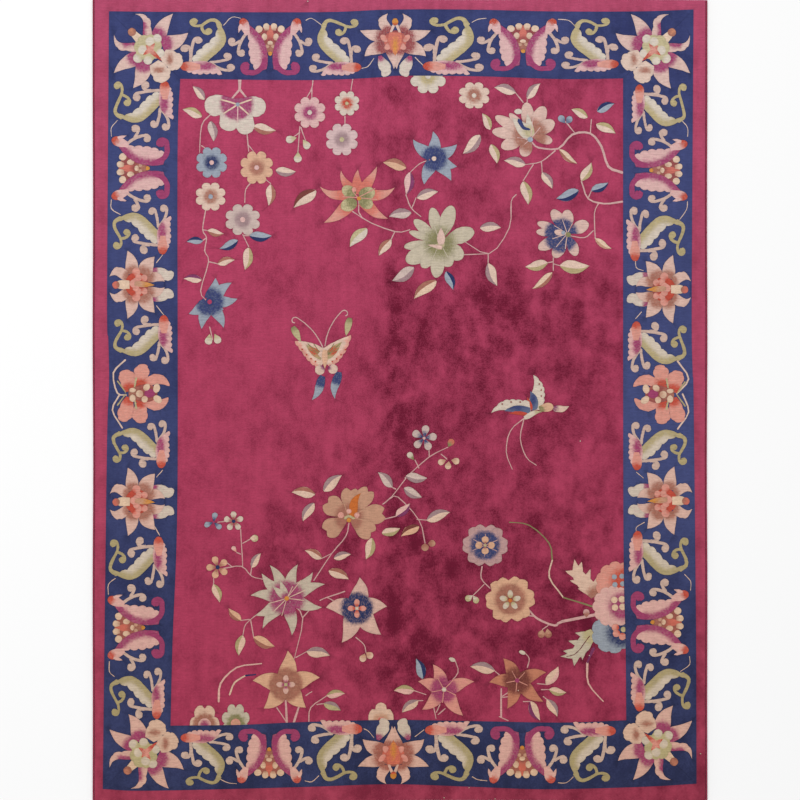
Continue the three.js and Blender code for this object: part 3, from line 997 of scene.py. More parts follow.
def perched_butterfly():
    """The butterfly with spread wings and two tails, in the upper field."""
    curl(CHART, (324, 350), (295, 321), 4, 1.1, "stem", 1, 0.12, turn=220, heart=0)
    curl(CHART, (325, 346), (345, 314), 4, 1.1, "stem", -1, 0.12, turn=220, heart=0)
    lay_petal(CHART, (323, 376), (312, 400), 9, "blue", "navy", ((323, 377), 9.4, 12.4), hook=-0.08)
    lay_petal(CHART, (339, 372), (335, 399), 9, "blue", "navy", ((339, 374), 9.4, 12.4), hook=0.08)
    body = (324, 361)
    for base, tip, frill, hook, hand in (((325, 361), (295, 341), "right", 0.02, -1),
            ((324, 361), (351, 335), "left", 0.02, 1)):
        wing(base, tip, 19, hook, frill, "cream", "coral", 3)
        panel = (body[0] + 9 * hand, 351)
        lay_petal(CHART, (body[0] + 2 * hand, 358), (body[0] + 18 * hand, 342 + (hand < 0) * 3), 8,
            "olive", "vermilion", in_oval(panel, 5.4, 4.4, 0.7))
        rays((body[0] + 2 * hand, 356), [(body[0] + 16 * hand, 344), (body[0] + 10 * hand, 344),
            (body[0] + 15 * hand, 349)], 1.0, "sage")
        for share in (0.2, 0.4, 0.6, 0.8):
            spot = (body[0] + hand * (4 + 22 * share), 363 - 4 * share - 16 * share**2)
            disc(CHART, spot, 0.9, "vermilion", count=7)
    lay_petal(CHART, (293, 327), (301, 342), 7, "leaf", "sage", ((293, 327), 1, 9))
    lay_petal(CHART, (350, 318), (346, 336), 7, "leaf", "sage", ((350, 318), 1, 9))
    for spot in ((320, 370), (333, 369)):
        disc(CHART, spot, 4.9, "cream", "purple", ((326, 366), 3, 7))
    lay_petal(CHART, (325, 350), (325, 369), 6, "peach")


def flying_butterfly():
    """The butterfly seen from the side, in the middle of the field."""
    lines([[(524, 418), (510, 431), (506, 452), (512, 469)],
        [(524, 418), (520, 438), (526, 457), (536, 465)]], 1.1, "stem")
    wing((535, 410), (533, 375), 15, 0.12, "left", "white", "white", 1)
    lay_petal(CHART, (534, 410), (530, 391), 9, "slate", "navy", in_oval((533, 400), 3, 6, 0.5), hook=0.08)
    lay_petal(CHART, (531, 410), (527, 397), 4.6, "vermilion")
    wing((530, 408), (491, 413), 14, 0.14, "left", "white", "white", 1)
    lay_petal(CHART, (530, 410), (504, 411), 8, "slate", "navy", in_oval((517, 408), 9, 2.6, 0.6),
        hook=0.06)
    lay_petal(CHART, (527, 414), (508, 414), 4, "vermilion", hook=0.06)
    for spot in ((539, 384), (541, 390), (541, 396), (502, 404), (511, 402), (520, 402)):
        disc(CHART, spot, 0.9, "rust", count=7)
    lay_petal(CHART, (553, 409), (569, 406), 7, "cream", "purple", ((555, 408), 1, 5), hook=0.1)
    lay_petal(CHART, (539, 409), (553, 406), 9, "peach", "sage", ((540, 410), 3, 6), blunt=True, foot=0.6)
    lay_petal(CHART, (524, 418), (542, 412), 5.4, "white", "leaf", ((540, 412), 3, 8), hook=-0.1)


# White specks of lint in the pile
LINT = [(444, 797), (469, 787), (478, 799), (495, 798), (700, 753), (580, 441), (589, 655), (518, 690),
    (308, 2)]


def field_flowers():
    """All that grows in the field, back to front."""
    stems = new_element()
    lines(STEMS, 1.15, "stem", stems)
    for path, start, end, yarn in BRANCHES:
        stroke(CHART, path, start, end, yarn, element=stems, steps=3, carve_and_shade=0.5)
    for row in LEAVES:
        two_toned(*row)
    hanging_pansy()
    for row in BLOSSOMS:
        blossom(*row)
    upper_peonies()
    star_flowers()
    lily_details()
    salmon_lily()
    notched_pair()
    little_flowers()
    cut_flowers()
    peony_cluster()
    for row in BUDS:
        drop(*row)
    perched_butterfly()
    flying_butterfly()
    for spot in LINT:
        disc(CHART, spot, 0.6, "white", count=5)


# ---------------------------------------------------------------- the ground, the bands and the border

# Edges of the navy border, down the chart from the far left corner, clockwise
BORDER_OUTER = {
    "far": [(109.5, 12), (170, 12.6), (320, 12.9), (390, 10.3), (470, 10.3), (550, 12.1), (640, 12.1),
        (693, 10.2)],
    "right": [(693, 10.2), (691.2, 300), (692.1, 372), (693.1, 400), (695.4, 620), (695.8, 717),
        (696, 783)],
    "near": [(696, 783), (640, 786.2), (545, 788.5), (470, 786), (390, 783.5), (300, 786.4), (150, 790),
        (103.3, 788.3)],
    "left": [(103.3, 788.3), (105.5, 600), (107.8, 430), (109.6, 384), (108.9, 340), (107.6, 300),
        (109.5, 12)],
}
BORDER_INNER = {
    "far": [(180.7, 79.5), (310, 80.8), (380, 78), (400, 76.4), (480, 77), (560, 79.7), (622.6, 79.1)],
    "right": [(622.6, 79.1), (622.9, 520), (625.1, 640), (625.8, 719.6)],
    "near": [(625.8, 719.6), (560, 721.9), (470, 720.4), (390, 719.3), (300, 721.5), (240, 724.2),
        (171, 725)],
    "left": [(171, 725), (173.1, 640), (178, 490), (178, 160), (180.7, 79.5)],
}

CREASE = 395  # column of the fold that runs down the middle, along which shade is painted into the field

# Dark places in the ground: column, row, half width, half height, depth
DARK_PLACES = [
    (374, 120, 14, 60, 0.14),
    (400, 360, 30, 80, 0.12),
    (470, 345, 70, 70, 0.38),
    (505, 300, 50, 40, 0.24),
    (590, 330, 40, 70, 0.26),
    (560, 420, 50, 40, 0.14),
    (345, 480, 70, 80, 0.26),
    (300, 560, 60, 60, 0.26),
    (420, 545, 70, 80, 0.32),
    (540, 510, 60, 50, 0.22),
    (590, 590, 40, 40, 0.34),
    (540, 650, 90, 60, 0.24),
    (430, 650, 70, 60, 0.22),
    (360, 670, 50, 50, 0.20),
    (300, 300, 60, 90, 0.05),
    (450, 130, 60, 60, 0.10),
]


def field_tone(spot):
    """How dark the field is: a slow darkening towards the near end, a step darker from column 382
    rightwards, a bell for each dark place, and painted shade along the crease of the old fold in the
    middle, which falls off by 1 / e in 10 knots to its left and ends at once on its right."""
    column, row = spot[..., 0], spot[..., 1]
    tone = 0.08 + 0.06 * (row - 80) / 640 + 0.14 * ease((column - 382) / 8)
    strength = 0.24 + 0.34 * np.exp(-(((row - 350) / 110) ** 2))
    # painted shade along the fold's crease
    tone = tone + strength * np.exp(-np.abs(CREASE - column) / np.where(column < CREASE, 10, 3))
    for place_column, place_row, half_width, half_height, depth in DARK_PLACES:
        reach = ((column - place_column) / half_width) ** 2 + ((row - place_row) / half_height) ** 2
        tone = tone + depth * np.exp(-reach)
    return np.clip(tone, 0, 1)


def band_tone(spot):
    """How dark the outer band is, darkest at the near end except at its left corner."""
    low = ease((spot[..., 1] - 480) / 260)
    return 0.1 + low * (0.2 + 0.24 * ease((spot[..., 0] - 190) / 230))


def border_tone(spot):
    """Depth of the navy: a level less a bell of rows about 210, less a deeper bell about row 450 on the
    right side only, more from row 400 to the near end, and slow waves."""
    column, row = spot[..., 0], spot[..., 1]
    tone = 0.58 - 0.2 * np.exp(-((row - 210) / 170) ** 2)
    tone = tone - 0.6 * ease((column - 500) / 120) * np.exp(-((row - 450) / 190) ** 2)
    tone = tone + ease((row - 400) / 300) * (0.15 + 0.15 * ease((column - 240) / 120))
    return np.clip(tone + 0.1 * np.sin(row / 41.0) + 0.08 * np.sin(column / 33.0 + 1.0), 0, 1)


def ground_of_the_rug():
    """The outer band and the field, under everything that lies on them."""
    lay([(60, -30), (740, -30), (740, 830), (60, 830)], "band", "band_dark", band_tone, ground=1.0,
        carve_and_shade=0.0)
    field = np.vstack([smooth(BORDER_INNER[side], steps=6)[:-1] for side in ("far", "right", "near",
        "left")])
    lay(field, "raspberry", "plum", field_tone, ground=1.0, carve_and_shade=0.0)


def navy_border():
    """Four strips that share one clipped line, each from the border's outer edge to its inner one."""
    element = new_element()
    for side in ("far", "right", "near", "left"):
        strip = smooth(BORDER_OUTER[side], steps=6)
        inner = smooth(BORDER_INNER[side], steps=6)[::-1]
        lay(np.vstack([strip, inner]), "indigo", "indigo_dark", border_tone, element, 0.5, 0.45)


# Scroll units: head column, head row, along, outward, stretch along, stretch outward, near volute, far
# volute
SCROLLS = [
    (165.4, 85, DOWN, LEFT, 1.0, 0.98, (17.8, 38.1), (1.7, 47.2)),
    (163.4, 251.2, UP, LEFT, 1.0, 0.96, (18, 36.5), (6, 46.1)),
    (164.6, 318.8, DOWN, LEFT, 0.98, 0.97, (18, 37), (5, 46)),
    (162.1, 464.6, UP, LEFT, 0.96, 0.95, (16.5, 37), (6.3, 45.3)),
    (159.5, 539.9, DOWN, LEFT, 1.03, 0.96, (19.1, 37), (3.8, 45.3)),
    (157.6, 714.8, UP, LEFT, 1.03, 0.91, (20.4, 35.7), (3.8, 42.1)),
    (638.7, 88.6, DOWN, RIGHT, 1.0, 0.89, (14.7, 35.1), (0, 44)),
    (634.2, 257.6, UP, RIGHT, 1.09, 0.96, (21.7, 38.3), (6.4, 47)),
    (635.5, 325.2, DOWN, RIGHT, 1.02, 0.96, (18.5, 38.9), (5.1, 47)),
    (636.1, 466.7, UP, RIGHT, 0.97, 0.96, (19.1, 37.7), (6.3, 46.6)),
    (636.8, 534.3, DOWN, RIGHT, 1.06, 0.97, (20.4, 38.3), (7.7, 47.6)),
    (638.6, 707.2, UP, RIGHT, 1.02, 0.98, (19.8, 38.1), (3, 47.7)),
    (184.3, 67.4, RIGHT, UP, 1.10, 0.92, (24, 35.8), (10.6, 44.9)),
    (357.7, 68.3, LEFT, UP, 1.05, 0.93, (18.4, 35.8), (3.8, 45)),
    (427.1, 67.2, RIGHT, UP, 1.22, 0.95, (27.1, 36.8), (7.6, 45.5)),
    (614.2, 65, LEFT, UP, 1.15, 0.86, (24.9, 33), (9.8, 43)),
    (184.7, 736.9, RIGHT, DOWN, 1.06, 0.89, (21.4, 33.7), (6.1, 44.4)),
    (358.5, 728, LEFT, DOWN, 1.09, 1.0, (21.6, 39), (5.9, 47.7)),
    (429, 729.1, RIGHT, DOWN, 1.16, 0.98, (22.8, 40.1), (6.5, 46.6)),
    (611.5, 729.9, LEFT, DOWN, 1.11, 0.98, (21.8, 37.3), (6.9, 47.1)),
]

# Pink pairs: column and row of the gold dot, along, outward, and the stretch along and outward where not 1
PAIRS = [
    (148.2, 168.7, DOWN, LEFT),
    (143.6, 627.2, DOWN, LEFT, 1.0, 0.98),
    (650.8, 170.7, DOWN, RIGHT, 0.95, 1.0),
    (652.1, 621.8, DOWN, RIGHT),
    (270.4, 54.3, RIGHT, UP, 0.97, 0.98),
    (522.8, 51.8, RIGHT, UP, 1.06, 0.90),
    (269.4, 748.7, RIGHT, DOWN, 1.0, 0.93),
    (522, 747.1, RIGHT, DOWN, 1.04, 0.98),
]

# Lotuses: column, row, along, outward, and the stretch along and outward where not 1
LOTUSES = [
    (138.1, 284.8, DOWN, LEFT),
    (138.4, 501.5, DOWN, LEFT),
    (662.4, 289.5, DOWN, RIGHT),
    (663.7, 500.5, DOWN, RIGHT),
    (395.2, 43.3, RIGHT, UP, 1.02, 0.94),
    (393.4, 753, RIGHT, DOWN, 1.02, 0.98),
]

# Corner flowers: column, row, towards the field along one side, along the other
CORNERS = [
    (150.5, 50.6, RIGHT, DOWN),
    (653.4, 51, LEFT, DOWN),
    (146.1, 751.8, RIGHT, UP),
    (655.5, 743.1, LEFT, UP),
]

# Thin cream lines that join the units of the border
JOINS = [
    [(116, 578), (109, 584), (109, 594)], [(110, 661), (110, 671), (115, 676)],
    [(112, 200), (112, 209), (121, 215)], [(118, 121), (112, 128), (112, 137)],
    [(682, 122), (687, 128), (687, 137)], [(687, 202), (686, 210), (679, 220)],
    [(689, 656), (689, 664), (680, 671)], [(684, 574), (690, 581), (690, 590)],
    [(224, 26), (232, 18), (241, 19)], [(306, 21), (312, 19), (322, 26)],
    [(472, 23), (478, 20), (486, 19)], [(558, 20), (568, 21), (574, 26)],
    [(220, 778), (228, 782), (237, 783)], [(305, 780), (312, 781), (319, 775)],
    [(472, 776), (478, 779), (487, 780)], [(558, 782), (566, 782), (573, 776)],
    [(163, 470), (157, 477)], [(155, 526), (160, 535)], [(157, 263), (163, 255)],
    [(157, 306), (165, 316)], [(635, 261), (636, 268), (643, 271)], [(641, 312), (635, 319)],
    [(636, 472), (643, 478)], [(644, 522), (636, 527), (636, 532)], [(362, 69), (368, 67), (374, 59)],
    [(415, 58), (424, 67)], [(364, 728), (369, 731), (374, 737)], [(424, 729), (415, 736)],
]


def border_flowers():
    """Every unit of the border: joins, scrolls, pairs, lotuses, camellias and corner flowers."""
    lines(JOINS, 0.8, "cream")
    lines([[(126, 360), (114, 373), (118, 393), (127, 395)], [(120, 395), (113, 410), (123, 428)],
        [(677, 361), (688, 379), (676, 394)], [(682, 394), (688, 412), (677, 429)]], 1.7, "cream")
    for draw, rows in ((scroll_unit, SCROLLS), (pair_unit, PAIRS), (side_lotus_unit, LOTUSES[:4]),
            (lotus_unit, LOTUSES[4:]), (corner_unit, CORNERS)):
        for row in rows:
            unit_at(draw, *row)
    unit_at(camellia_unit, 138.1, 393.2, DOWN, LEFT)
    unit_at(camellia_unit, 664.6, 394, DOWN, RIGHT)


# ---------------------------------------------------------------- from the chart to meshes


def inside(outline, spots):
    """Even-odd test of spots against a closed outline, all at once."""
    a, b = outline, np.roll(outline, -1, axis=0)
    x, y = spots[:, None, 0], spots[:, None, 1]
    crosses = (a[:, 1] > y) != (b[:, 1] > y)
    rise = np.where(b[:, 1] == a[:, 1], 1e-9, b[:, 1] - a[:, 1])
    at = a[:, 0] + (y - a[:, 1]) * (b[:, 0] - a[:, 0]) / rise
    return ((x < at) & crosses).sum(axis=1) % 2 == 1


def hexes(low, high, step, random, jitter):
    """A hexagonal net of spots over a box, each moved by up to jitter x step."""
    rows = np.arange(low[1], high[1], step * 0.866)
    columns = np.arange(low[0], high[0], step)
    grid = np.stack(np.meshgrid(columns, rows), axis=-1)
    grid[1::2, :, 0] += step / 2
    spots = grid.reshape(-1, 2)
    return spots + random.uniform(-jitter, jitter, spots.shape) * step


def thinned(spots, cell):
    """At most one spot in each square cell."""
    keys = np.floor(spots / cell).astype(np.int64)
    _, first = np.unique(keys[:, 0] * STRIDE + keys[:, 1], return_index=True)
    return spots[np.sort(first)]


def clear_of(fixed, spots, cell):
    """The spots that have no fixed spot in their own cell or in the eight cells round it."""
    steps = np.array([(i, j) for i in (-1, 0, 1) for j in (-1, 0, 1)])
    taken = (np.floor(fixed / cell).astype(np.int64)[:, None] + steps[None]).reshape(-1, 2) @ (STRIDE, 1)
    return spots[~np.isin(np.floor(spots / cell).astype(np.int64) @ (STRIDE, 1), taken)]


def owner_of(spots):
    """For each spot, the motif that was laid last over it, or -1."""
    order = np.argsort(spots[:, 0])
    columns = spots[order, 0]
    owner = np.full(len(spots), -1)
    for index, motif in enumerate(MOTIFS):
        low, high = motif["outline"].min(axis=0), motif["outline"].max(axis=0)
        near = order[np.searchsorted(columns, low[0]) : np.searchsorted(columns, high[0])]
        near = near[(spots[near, 1] > low[1]) & (spots[near, 1] < high[1])]
        if len(near):
            owner[near[inside(motif["outline"], spots[near])]] = index
    return owner


def triangulated(spots, edges):
    """A Delaunay triangulation that keeps the edges: places, triangles and the new number of each spot.
    Rows are turned over for it, so that the triangles face up in metres."""
    result = delaunay_2d_cdt([Vector((column, -row)) for column, row in spots], edges.tolist(), [], 0, 1e-5)
    place = np.array([(v.x, -v.y) for v in result[0]])
    number = np.empty(len(spots), int)
    for index, sources in enumerate(result[3]):
        number[sources] = index
    return place, np.array(result[2]), number


def neighbours(triangles):
    """Every edge that two triangles share: its two points and its two triangles."""
    edges = np.sort(np.vstack([triangles[:, [0, 1]], triangles[:, [1, 2]], triangles[:, [2, 0]]]), axis=1)
    face = np.tile(np.arange(len(triangles)), 3)
    order = np.lexsort((edges[:, 1], edges[:, 0]))
    edges, face = edges[order], face[order]
    pair = np.flatnonzero((edges[1:] == edges[:-1]).all(axis=1))
    return edges[pair], face[pair], face[pair + 1]


def loop_edges(start, count):
    """The edges of a closed loop of count points that starts at a number."""
    step = np.arange(count)
    return start + np.column_stack([step, (step + 1) % count])


def weave(boundary):
    """Triangulates the chart inside the boundary. A first net finds which outlines show; a second one
    keeps only those, with a row of spots each side of them and finer spots where yarns are shaded into
    each other."""
    random = np.random.default_rng(71)
    for motif in MOTIFS:
        if not motif["ground"]:
            motif["outline"] = motif["outline"] + random.uniform(-WAVER, WAVER, motif["outline"].shape)
    loops = [motif["outline"] for motif in MOTIFS]
    counts = np.array([len(loop) for loop in loops])
    starts = np.concatenate([[0], np.cumsum(counts)[:-1]])
    edges = np.vstack([loop_edges(start, count) for start, count in zip(starts, counts)])
    place, triangles, _ = triangulated(np.vstack(loops), edges)
    owners = owner_of(place[triangles].mean(axis=1))
    edges, first, second = neighbours(triangles)
    edges = edges[(owners[first] != owners[second]) & (owners[first] >= 0) & (owners[second] >= 0)]
    used, edges = np.unique(edges, return_inverse=True)
    fixed = place[used]
    edges = edges.reshape(-1, 2)
    side = across(fixed[edges[:, 1]] - fixed[edges[:, 0]])
    middle = fixed[edges].mean(axis=1)
    beside_seams = thinned(np.vstack([middle + CARVE_WIDTH * side, middle - CARVE_WIDTH * side]), SEAM_CELL)
    beside_seams = clear_of(np.vstack([fixed, middle]), beside_seams, SEAM_CLEAR)
    net = hexes(*FILL_BOX, FILL_STEP, random, 0.12)
    shaded = np.array([motif["shade"] is not None and not motif["ground"] for motif in MOTIFS])
    net = net[shaded[owner_of(net)]]
    net = clear_of(np.vstack([fixed, middle, beside_seams]), net, FILL_CLEAR)
    wide = hexes(*GROUND_BOX, GROUND_STEP, random, 0.28)
    wide = clear_of(np.vstack([fixed, beside_seams, net]), wide, GROUND_CLEAR)
    extra = np.vstack([beside_seams, net, wide])
    extra = extra[inside(drawn_in(boundary), extra)]
    edges = np.vstack([loop_edges(0, len(boundary)), edges + len(boundary)])
    place, triangles, number = triangulated(np.vstack([boundary, fixed, extra]), edges)
    middles = place[triangles].mean(axis=1)
    owners = owner_of(middles)
    low, high = boundary.min(axis=0) + RIM_ZONE, boundary.max(axis=0) - RIM_ZONE
    outer = np.flatnonzero(((middles < low) | (middles > high)).any(axis=1))
    owners[outer[~inside(boundary, middles[outer])]] = -1
    return place, triangles[owners >= 0], owners[owners >= 0], number[: len(boundary)]


def drawn_in(boundary):
    """The boundary, clockwise on the chart, drawn in by a little over half a knot, so that no loose spot
    lies on it."""
    return boundary + 0.6 * outward(boundary)


def linear(colour):
    """An 8-bit screen colour to linear light."""
    value = np.asarray(colour, float) / 255
    return np.where(value <= 0.04045, value / 12.92, ((value + 0.055) / 1.055) ** 2.4)


def yarn_at(name, row):
    """A yarn's colour at a row: its far colour mixed into its near one."""
    far, near = (linear(c) for c in YARNS[name])
    share = np.clip(row / ROWS, 0, 1)[..., None]
    return far + (near - far) * share


def corner_yarns(place, triangles, owners):
    """For every corner of every triangle: its two yarns, how far one is shaded into the other, and whether
    it is plain ground."""
    corners = place[triangles]
    yarn_a = np.ones((len(triangles), 3, 4))
    yarn_b = np.ones((len(triangles), 3, 4))
    blend = np.zeros((len(triangles), 3))
    ground = np.zeros((len(triangles), 3))
    order = np.argsort(owners, kind="stable")
    starts = np.searchsorted(owners[order], np.arange(len(MOTIFS) + 1))
    for index, motif in enumerate(MOTIFS):
        mine = order[starts[index] : starts[index + 1]]
        if not len(mine):
            continue
        spots = corners[mine]
        yarn_a[mine, :, :3] = yarn_at(motif["outer"], spots[..., 1])
        yarn_b[mine, :, :3] = yarn_at(motif["inner"], spots[..., 1])
        ground[mine] = motif["ground"]
        if motif["shade"] is not None:
            blend[mine] = motif["shade"](spots)
    return yarn_a, yarn_b, blend, ground


def carved(place, triangles, owners):
    """How deep the clipped line is, 1 where two elements of the drawing meet, for every point; and for
    every corner, the painted shade of that groove, laid more on the ground than on the motif, so that
    a thin stem stays light."""
    element = np.array([m["element"] for m in MOTIFS])
    depth = np.array([m["carve_and_shade"] for m in MOTIFS])
    edges, first, second = neighbours(triangles)
    first, second = owners[first], owners[second]
    apart = element[first] != element[second]
    points = np.zeros(len(place))
    top = depth[np.maximum(first, second)][apart]
    for k in (0, 1):
        np.maximum.at(points, edges[apart][:, k], top)
    low = np.array([1.0 if m["ground"] else 0.38 for m in MOTIFS])
    return points, points[triangles] * low[owners][:, None]


def write_mesh(name, points, faces):
    """A mesh object from arrays of points and triangles."""
    mesh = bpy.data.meshes.new(name)
    mesh.vertices.add(len(points))
    mesh.vertices.foreach_set("co", np.asarray(points, np.float32).ravel())
    mesh.loops.add(faces.size)
    mesh.loops.foreach_set("vertex_index", faces.astype(np.int32).ravel())
    mesh.polygons.add(len(faces))
    mesh.polygons.foreach_set("loop_start", np.arange(0, faces.size, 3, dtype=np.int32))
    mesh.update(calc_edges=True)
    mesh.validate()
    piece = bpy.data.objects.new(name, mesh)
    bpy.context.collection.objects.link(piece)
    return piece


def put(piece, name, values, domain="CORNER"):
    """A named number for each corner or point, or a colour in linear light for each corner."""
    kind, field = ("FLOAT_COLOR", "color") if np.ndim(values) == 3 else ("FLOAT", "value")
    layer = piece.data.attributes.new(name, kind, domain)
    layer.data.foreach_set(field, np.asarray(values, np.float32).ravel())


def ring_faces(lower, upper):
    """Two triangles for each step between two closed rings of as many points; they face away from the
    middle of counter-clockwise rings."""
    nl, nu = np.roll(lower, -1), np.roll(upper, -1)
    return np.vstack([np.column_stack([lower, nl, nu]), np.column_stack([lower, nu, upper])])


def plain_fill(loop):
    """Triangulates the inside of a loop in metres with a coarse net; the loop's own points come first."""
    random = np.random.default_rng(5)
    net = hexes(loop.min(axis=0), loop.max(axis=0), FILL_NET, random, 0.2)
    net = net[inside(loop - FILL_MARGIN * outward(loop), net)]
    flat = [Vector(p) for p in np.vstack([loop, net])]
    result = delaunay_2d_cdt(flat, [], [list(range(len(loop)))], 0, 1e-9)
    place = np.array([(v.x, v.y) for v in result[0]])
    triangles = np.array([f for f, o in zip(result[2], result[5]) if o])
    back = np.empty(len(place), int)
    for index, sources in enumerate(result[3]):
        back[index] = sources[0]
    return np.vstack([loop, net]), back[triangles]


def relief(place):
    """Slow unevenness of the pile in metres: three crossed waves, and the shallow groove of an old fold
    near the middle."""
    x, y = place[:, 0], place[:, 1]
    waves = np.sin(3.1 * x + 0.7) * np.sin(2.3 * y) + 0.6 * np.sin(5.7 * y + 2.2 * x)
    waves = waves + 0.4 * np.sin(9.1 * x - 3.3 * y)
    fold = np.exp(-(((x + 0.045) / 0.012) ** 2))
    return WAVE_HEIGHT * waves - FOLD_DEPTH * fold


def all_yarns(piece, *parts):
    """Puts the yarns, the shading and the ground share of several sets of faces, one after another, on a
    mesh."""
    for name, values in zip(("yarn_a", "yarn_b", "blend", "ground"), zip(*parts)):
        put(piece, name, np.concatenate(values))


def edge_yarns(name, rows):
    """One yarn for the corners of the rim or of a hidden side."""
    yarn = np.ones((*rows.shape, 4))
    yarn[..., :3] = yarn_at(name, rows)
    return yarn, yarn.copy(), np.zeros(rows.shape), np.ones(rows.shape)


def make_pile(place, triangles, rim, yarns, depth, groove_shade, loop):
    """The clipped pile: the woven top, a rim that is a quarter round of EDGE_ROUND and then falls
    straight, and a plain underside. Ring k lies EDGE_ROUND (1 - cos a) below the top and EDGE_ROUND (1 -
    sin a) inside the loop."""
    flat = to_metres(place)
    top = PILE_HEIGHT - NAP
    height = top + relief(flat) - CARVE_DEPTH * depth
    height[rim] = top
    points = [np.column_stack([flat, height])]
    normal = outward(loop)
    count = len(place)
    above = rim
    side = []
    random = np.random.default_rng(9)
    for angle in np.radians([30, 60, 90]):
        tuft = random.uniform(-TUFT_SPREAD, TUFT_SPREAD, (len(loop), 1))
        ring = loop - normal * (EDGE_ROUND * (1 - math.sin(angle)) + tuft)
        points.append(np.column_stack([ring, np.full(len(loop), top - EDGE_ROUND * (1 - math.cos(angle)))]))
        below = np.arange(count, count + len(loop))
        side.append(ring_faces(below, above))
        above = below
        count += len(loop)
    fill, fill_faces = plain_fill(loop - normal * 3 * NAP)
    points.append(np.column_stack([fill, np.full(len(fill), WEB_THICKNESS + NAP)]))
    foot = np.arange(count, count + len(loop))
    side.append(ring_faces(foot, above))
    side = np.vstack(side)
    bottom = fill_faces[:, ::-1] + count
    everything = np.vstack(points)
    piece = write_mesh("clipped_pile", everything, np.vstack([triangles, side, bottom]))
    rest = np.vstack([side, bottom])
    rows = MIDDLE - everything[rest][..., 1] / KNOT
    edge = list(edge_yarns("band", rows))
    edge[1][..., :3] = yarn_at("band_dark", rows)
    edge[2] = band_tone(to_chart(everything[rest].reshape(-1, 3)[:, :2])).reshape(-1, 3)
    all_yarns(piece, yarns, edge)
    # painted shade of the carved groove on the top's corners; none on the rim and the underside
    put(piece, "carve_and_shade", np.vstack([groove_shade, np.zeros((len(rest), 3))]))
    # marks the rounded rim, the sides and the underside, which the pile's shader darkens as painted shade
    put(piece, "rim", np.arange(len(everything)) >= len(place), "POINT")
    smooth_faces(piece)
    return piece


def make_web(place, triangles, yarns, rim, loop):
    """The knotted web under the pile: its underside shows the same drawing, its top is hidden by the pile.
    It is WEB_THICKNESS thick and stands two NAPs proud of the pile's foot."""
    edge = loop - outward(loop) * NAP
    flat = to_metres(place)
    flat[rim] = edge
    underside = np.column_stack([flat, np.zeros(len(flat))])
    fill, fill_faces = plain_fill(edge)
    count = len(underside)
    points = np.vstack([underside, np.column_stack([fill, np.full(len(fill), WEB_THICKNESS)])])
    top = fill_faces + count
    side = ring_faces(rim, np.arange(count, count + len(loop)))
    rest = np.vstack([side, top])
    piece = write_mesh("knotted_web", points, np.vstack([triangles[:, ::-1], rest]))
    rows = MIDDLE - points[rest][..., 1] / KNOT
    all_yarns(piece, [values[:, ::-1] for values in yarns], edge_yarns("band", rows))
    return piece


def smooth_faces(piece):
    """Smooth shading on every face."""
    piece.data.polygons.foreach_set("use_smooth", np.ones(len(piece.data.polygons), bool))


WRAP_PITCH = 0.005
WRAP_STEPS = 4
CORD_SIDES = 10
DOME = 0.0025  # length of a cord's rounded end
TIP = 0.0001  # how far the middle of that end stands beyond it


def make_cord(name, side):
    """A cord wrapped with wool: a tube round a line that follows the web's side, whose radius at angle a
    and run s is R (0.9 + 0.1 |sin(pi (s / pitch + a / 2 pi))|), with a domed end."""
    radius = CORD_DIAMETER / 2
    near, far = -end_at(side * PILE_HALF_WIDTH, False), end_at(side * PILE_HALF_WIDTH, True)
    run = np.linspace(near, far, int((far - near) / WRAP_PITCH * WRAP_STEPS))
    dome = DOME * (1 - np.cos(np.linspace(0, np.pi / 2, 4)))[:-1]
    run = np.concatenate([near + dome, run[(run > near + DOME) & (run < far - DOME)], (far - dome)[::-1]])
    close = np.minimum(run - near, far - run) / DOME
    shrink = np.sqrt(np.clip(1 - (1 - np.clip(close, 0.02, 1)) ** 2, 0.04, 1))
    angle = np.linspace(0, 2 * np.pi, CORD_SIDES, endpoint=False)
    groove = 0.9 + 0.1 * np.abs(np.sin(np.pi * (run[:, None] / WRAP_PITCH + angle[None] / (2 * np.pi))))
    reach = radius * groove * shrink[:, None]
    centre = side * (side_at(run) + SEAT_GAP + radius)
    x = centre[:, None] + reach * np.cos(angle)[None]
    z = radius + reach * np.sin(angle)[None]
    points = np.stack([x, np.broadcast_to(run[:, None], x.shape), z], axis=-1).reshape(-1, 3)
    count = len(run)
    index = np.arange(count * CORD_SIDES).reshape(count, CORD_SIDES)
    a, b = index[:-1], index[1:]
    turn_a, turn_b = np.roll(a, -1, axis=1), np.roll(b, -1, axis=1)
    wall = np.vstack([np.stack([a, b, turn_b], -1).reshape(-1, 3),
        np.stack([a, turn_b, turn_a], -1).reshape(-1, 3)])
    tips = np.array([[centre[0], near - TIP, radius], [centre[-1], far + TIP, radius]])
    first, last = index[0], index[-1]
    caps = np.vstack(
        [
            np.column_stack([np.roll(first, -1), np.full(CORD_SIDES, len(points)), first]),
            np.column_stack([last, np.full(CORD_SIDES, len(points) + 1), np.roll(last, -1)]),
        ]
    )
    piece = write_mesh(name, np.vstack([points, tips]), np.vstack([wall, caps]))
    smooth_faces(piece)
    return piece


# ---------------------------------------------------------------- finishes


def new_group(name, inputs, outputs):
    """An empty shader node group with its sockets."""
    group = bpy.data.node_groups.new(name, "ShaderNodeTree")
    for label, kind, value in inputs:
        socket = group.interface.new_socket(name=label, in_out="INPUT", socket_type=kind)
        if value is not None:
            socket.default_value = value
    for label, kind in outputs:
        group.interface.new_socket(name=label, in_out="OUTPUT", socket_type=kind)
    return group, group.nodes.new("NodeGroupInput"), group.nodes.new("NodeGroupOutput")


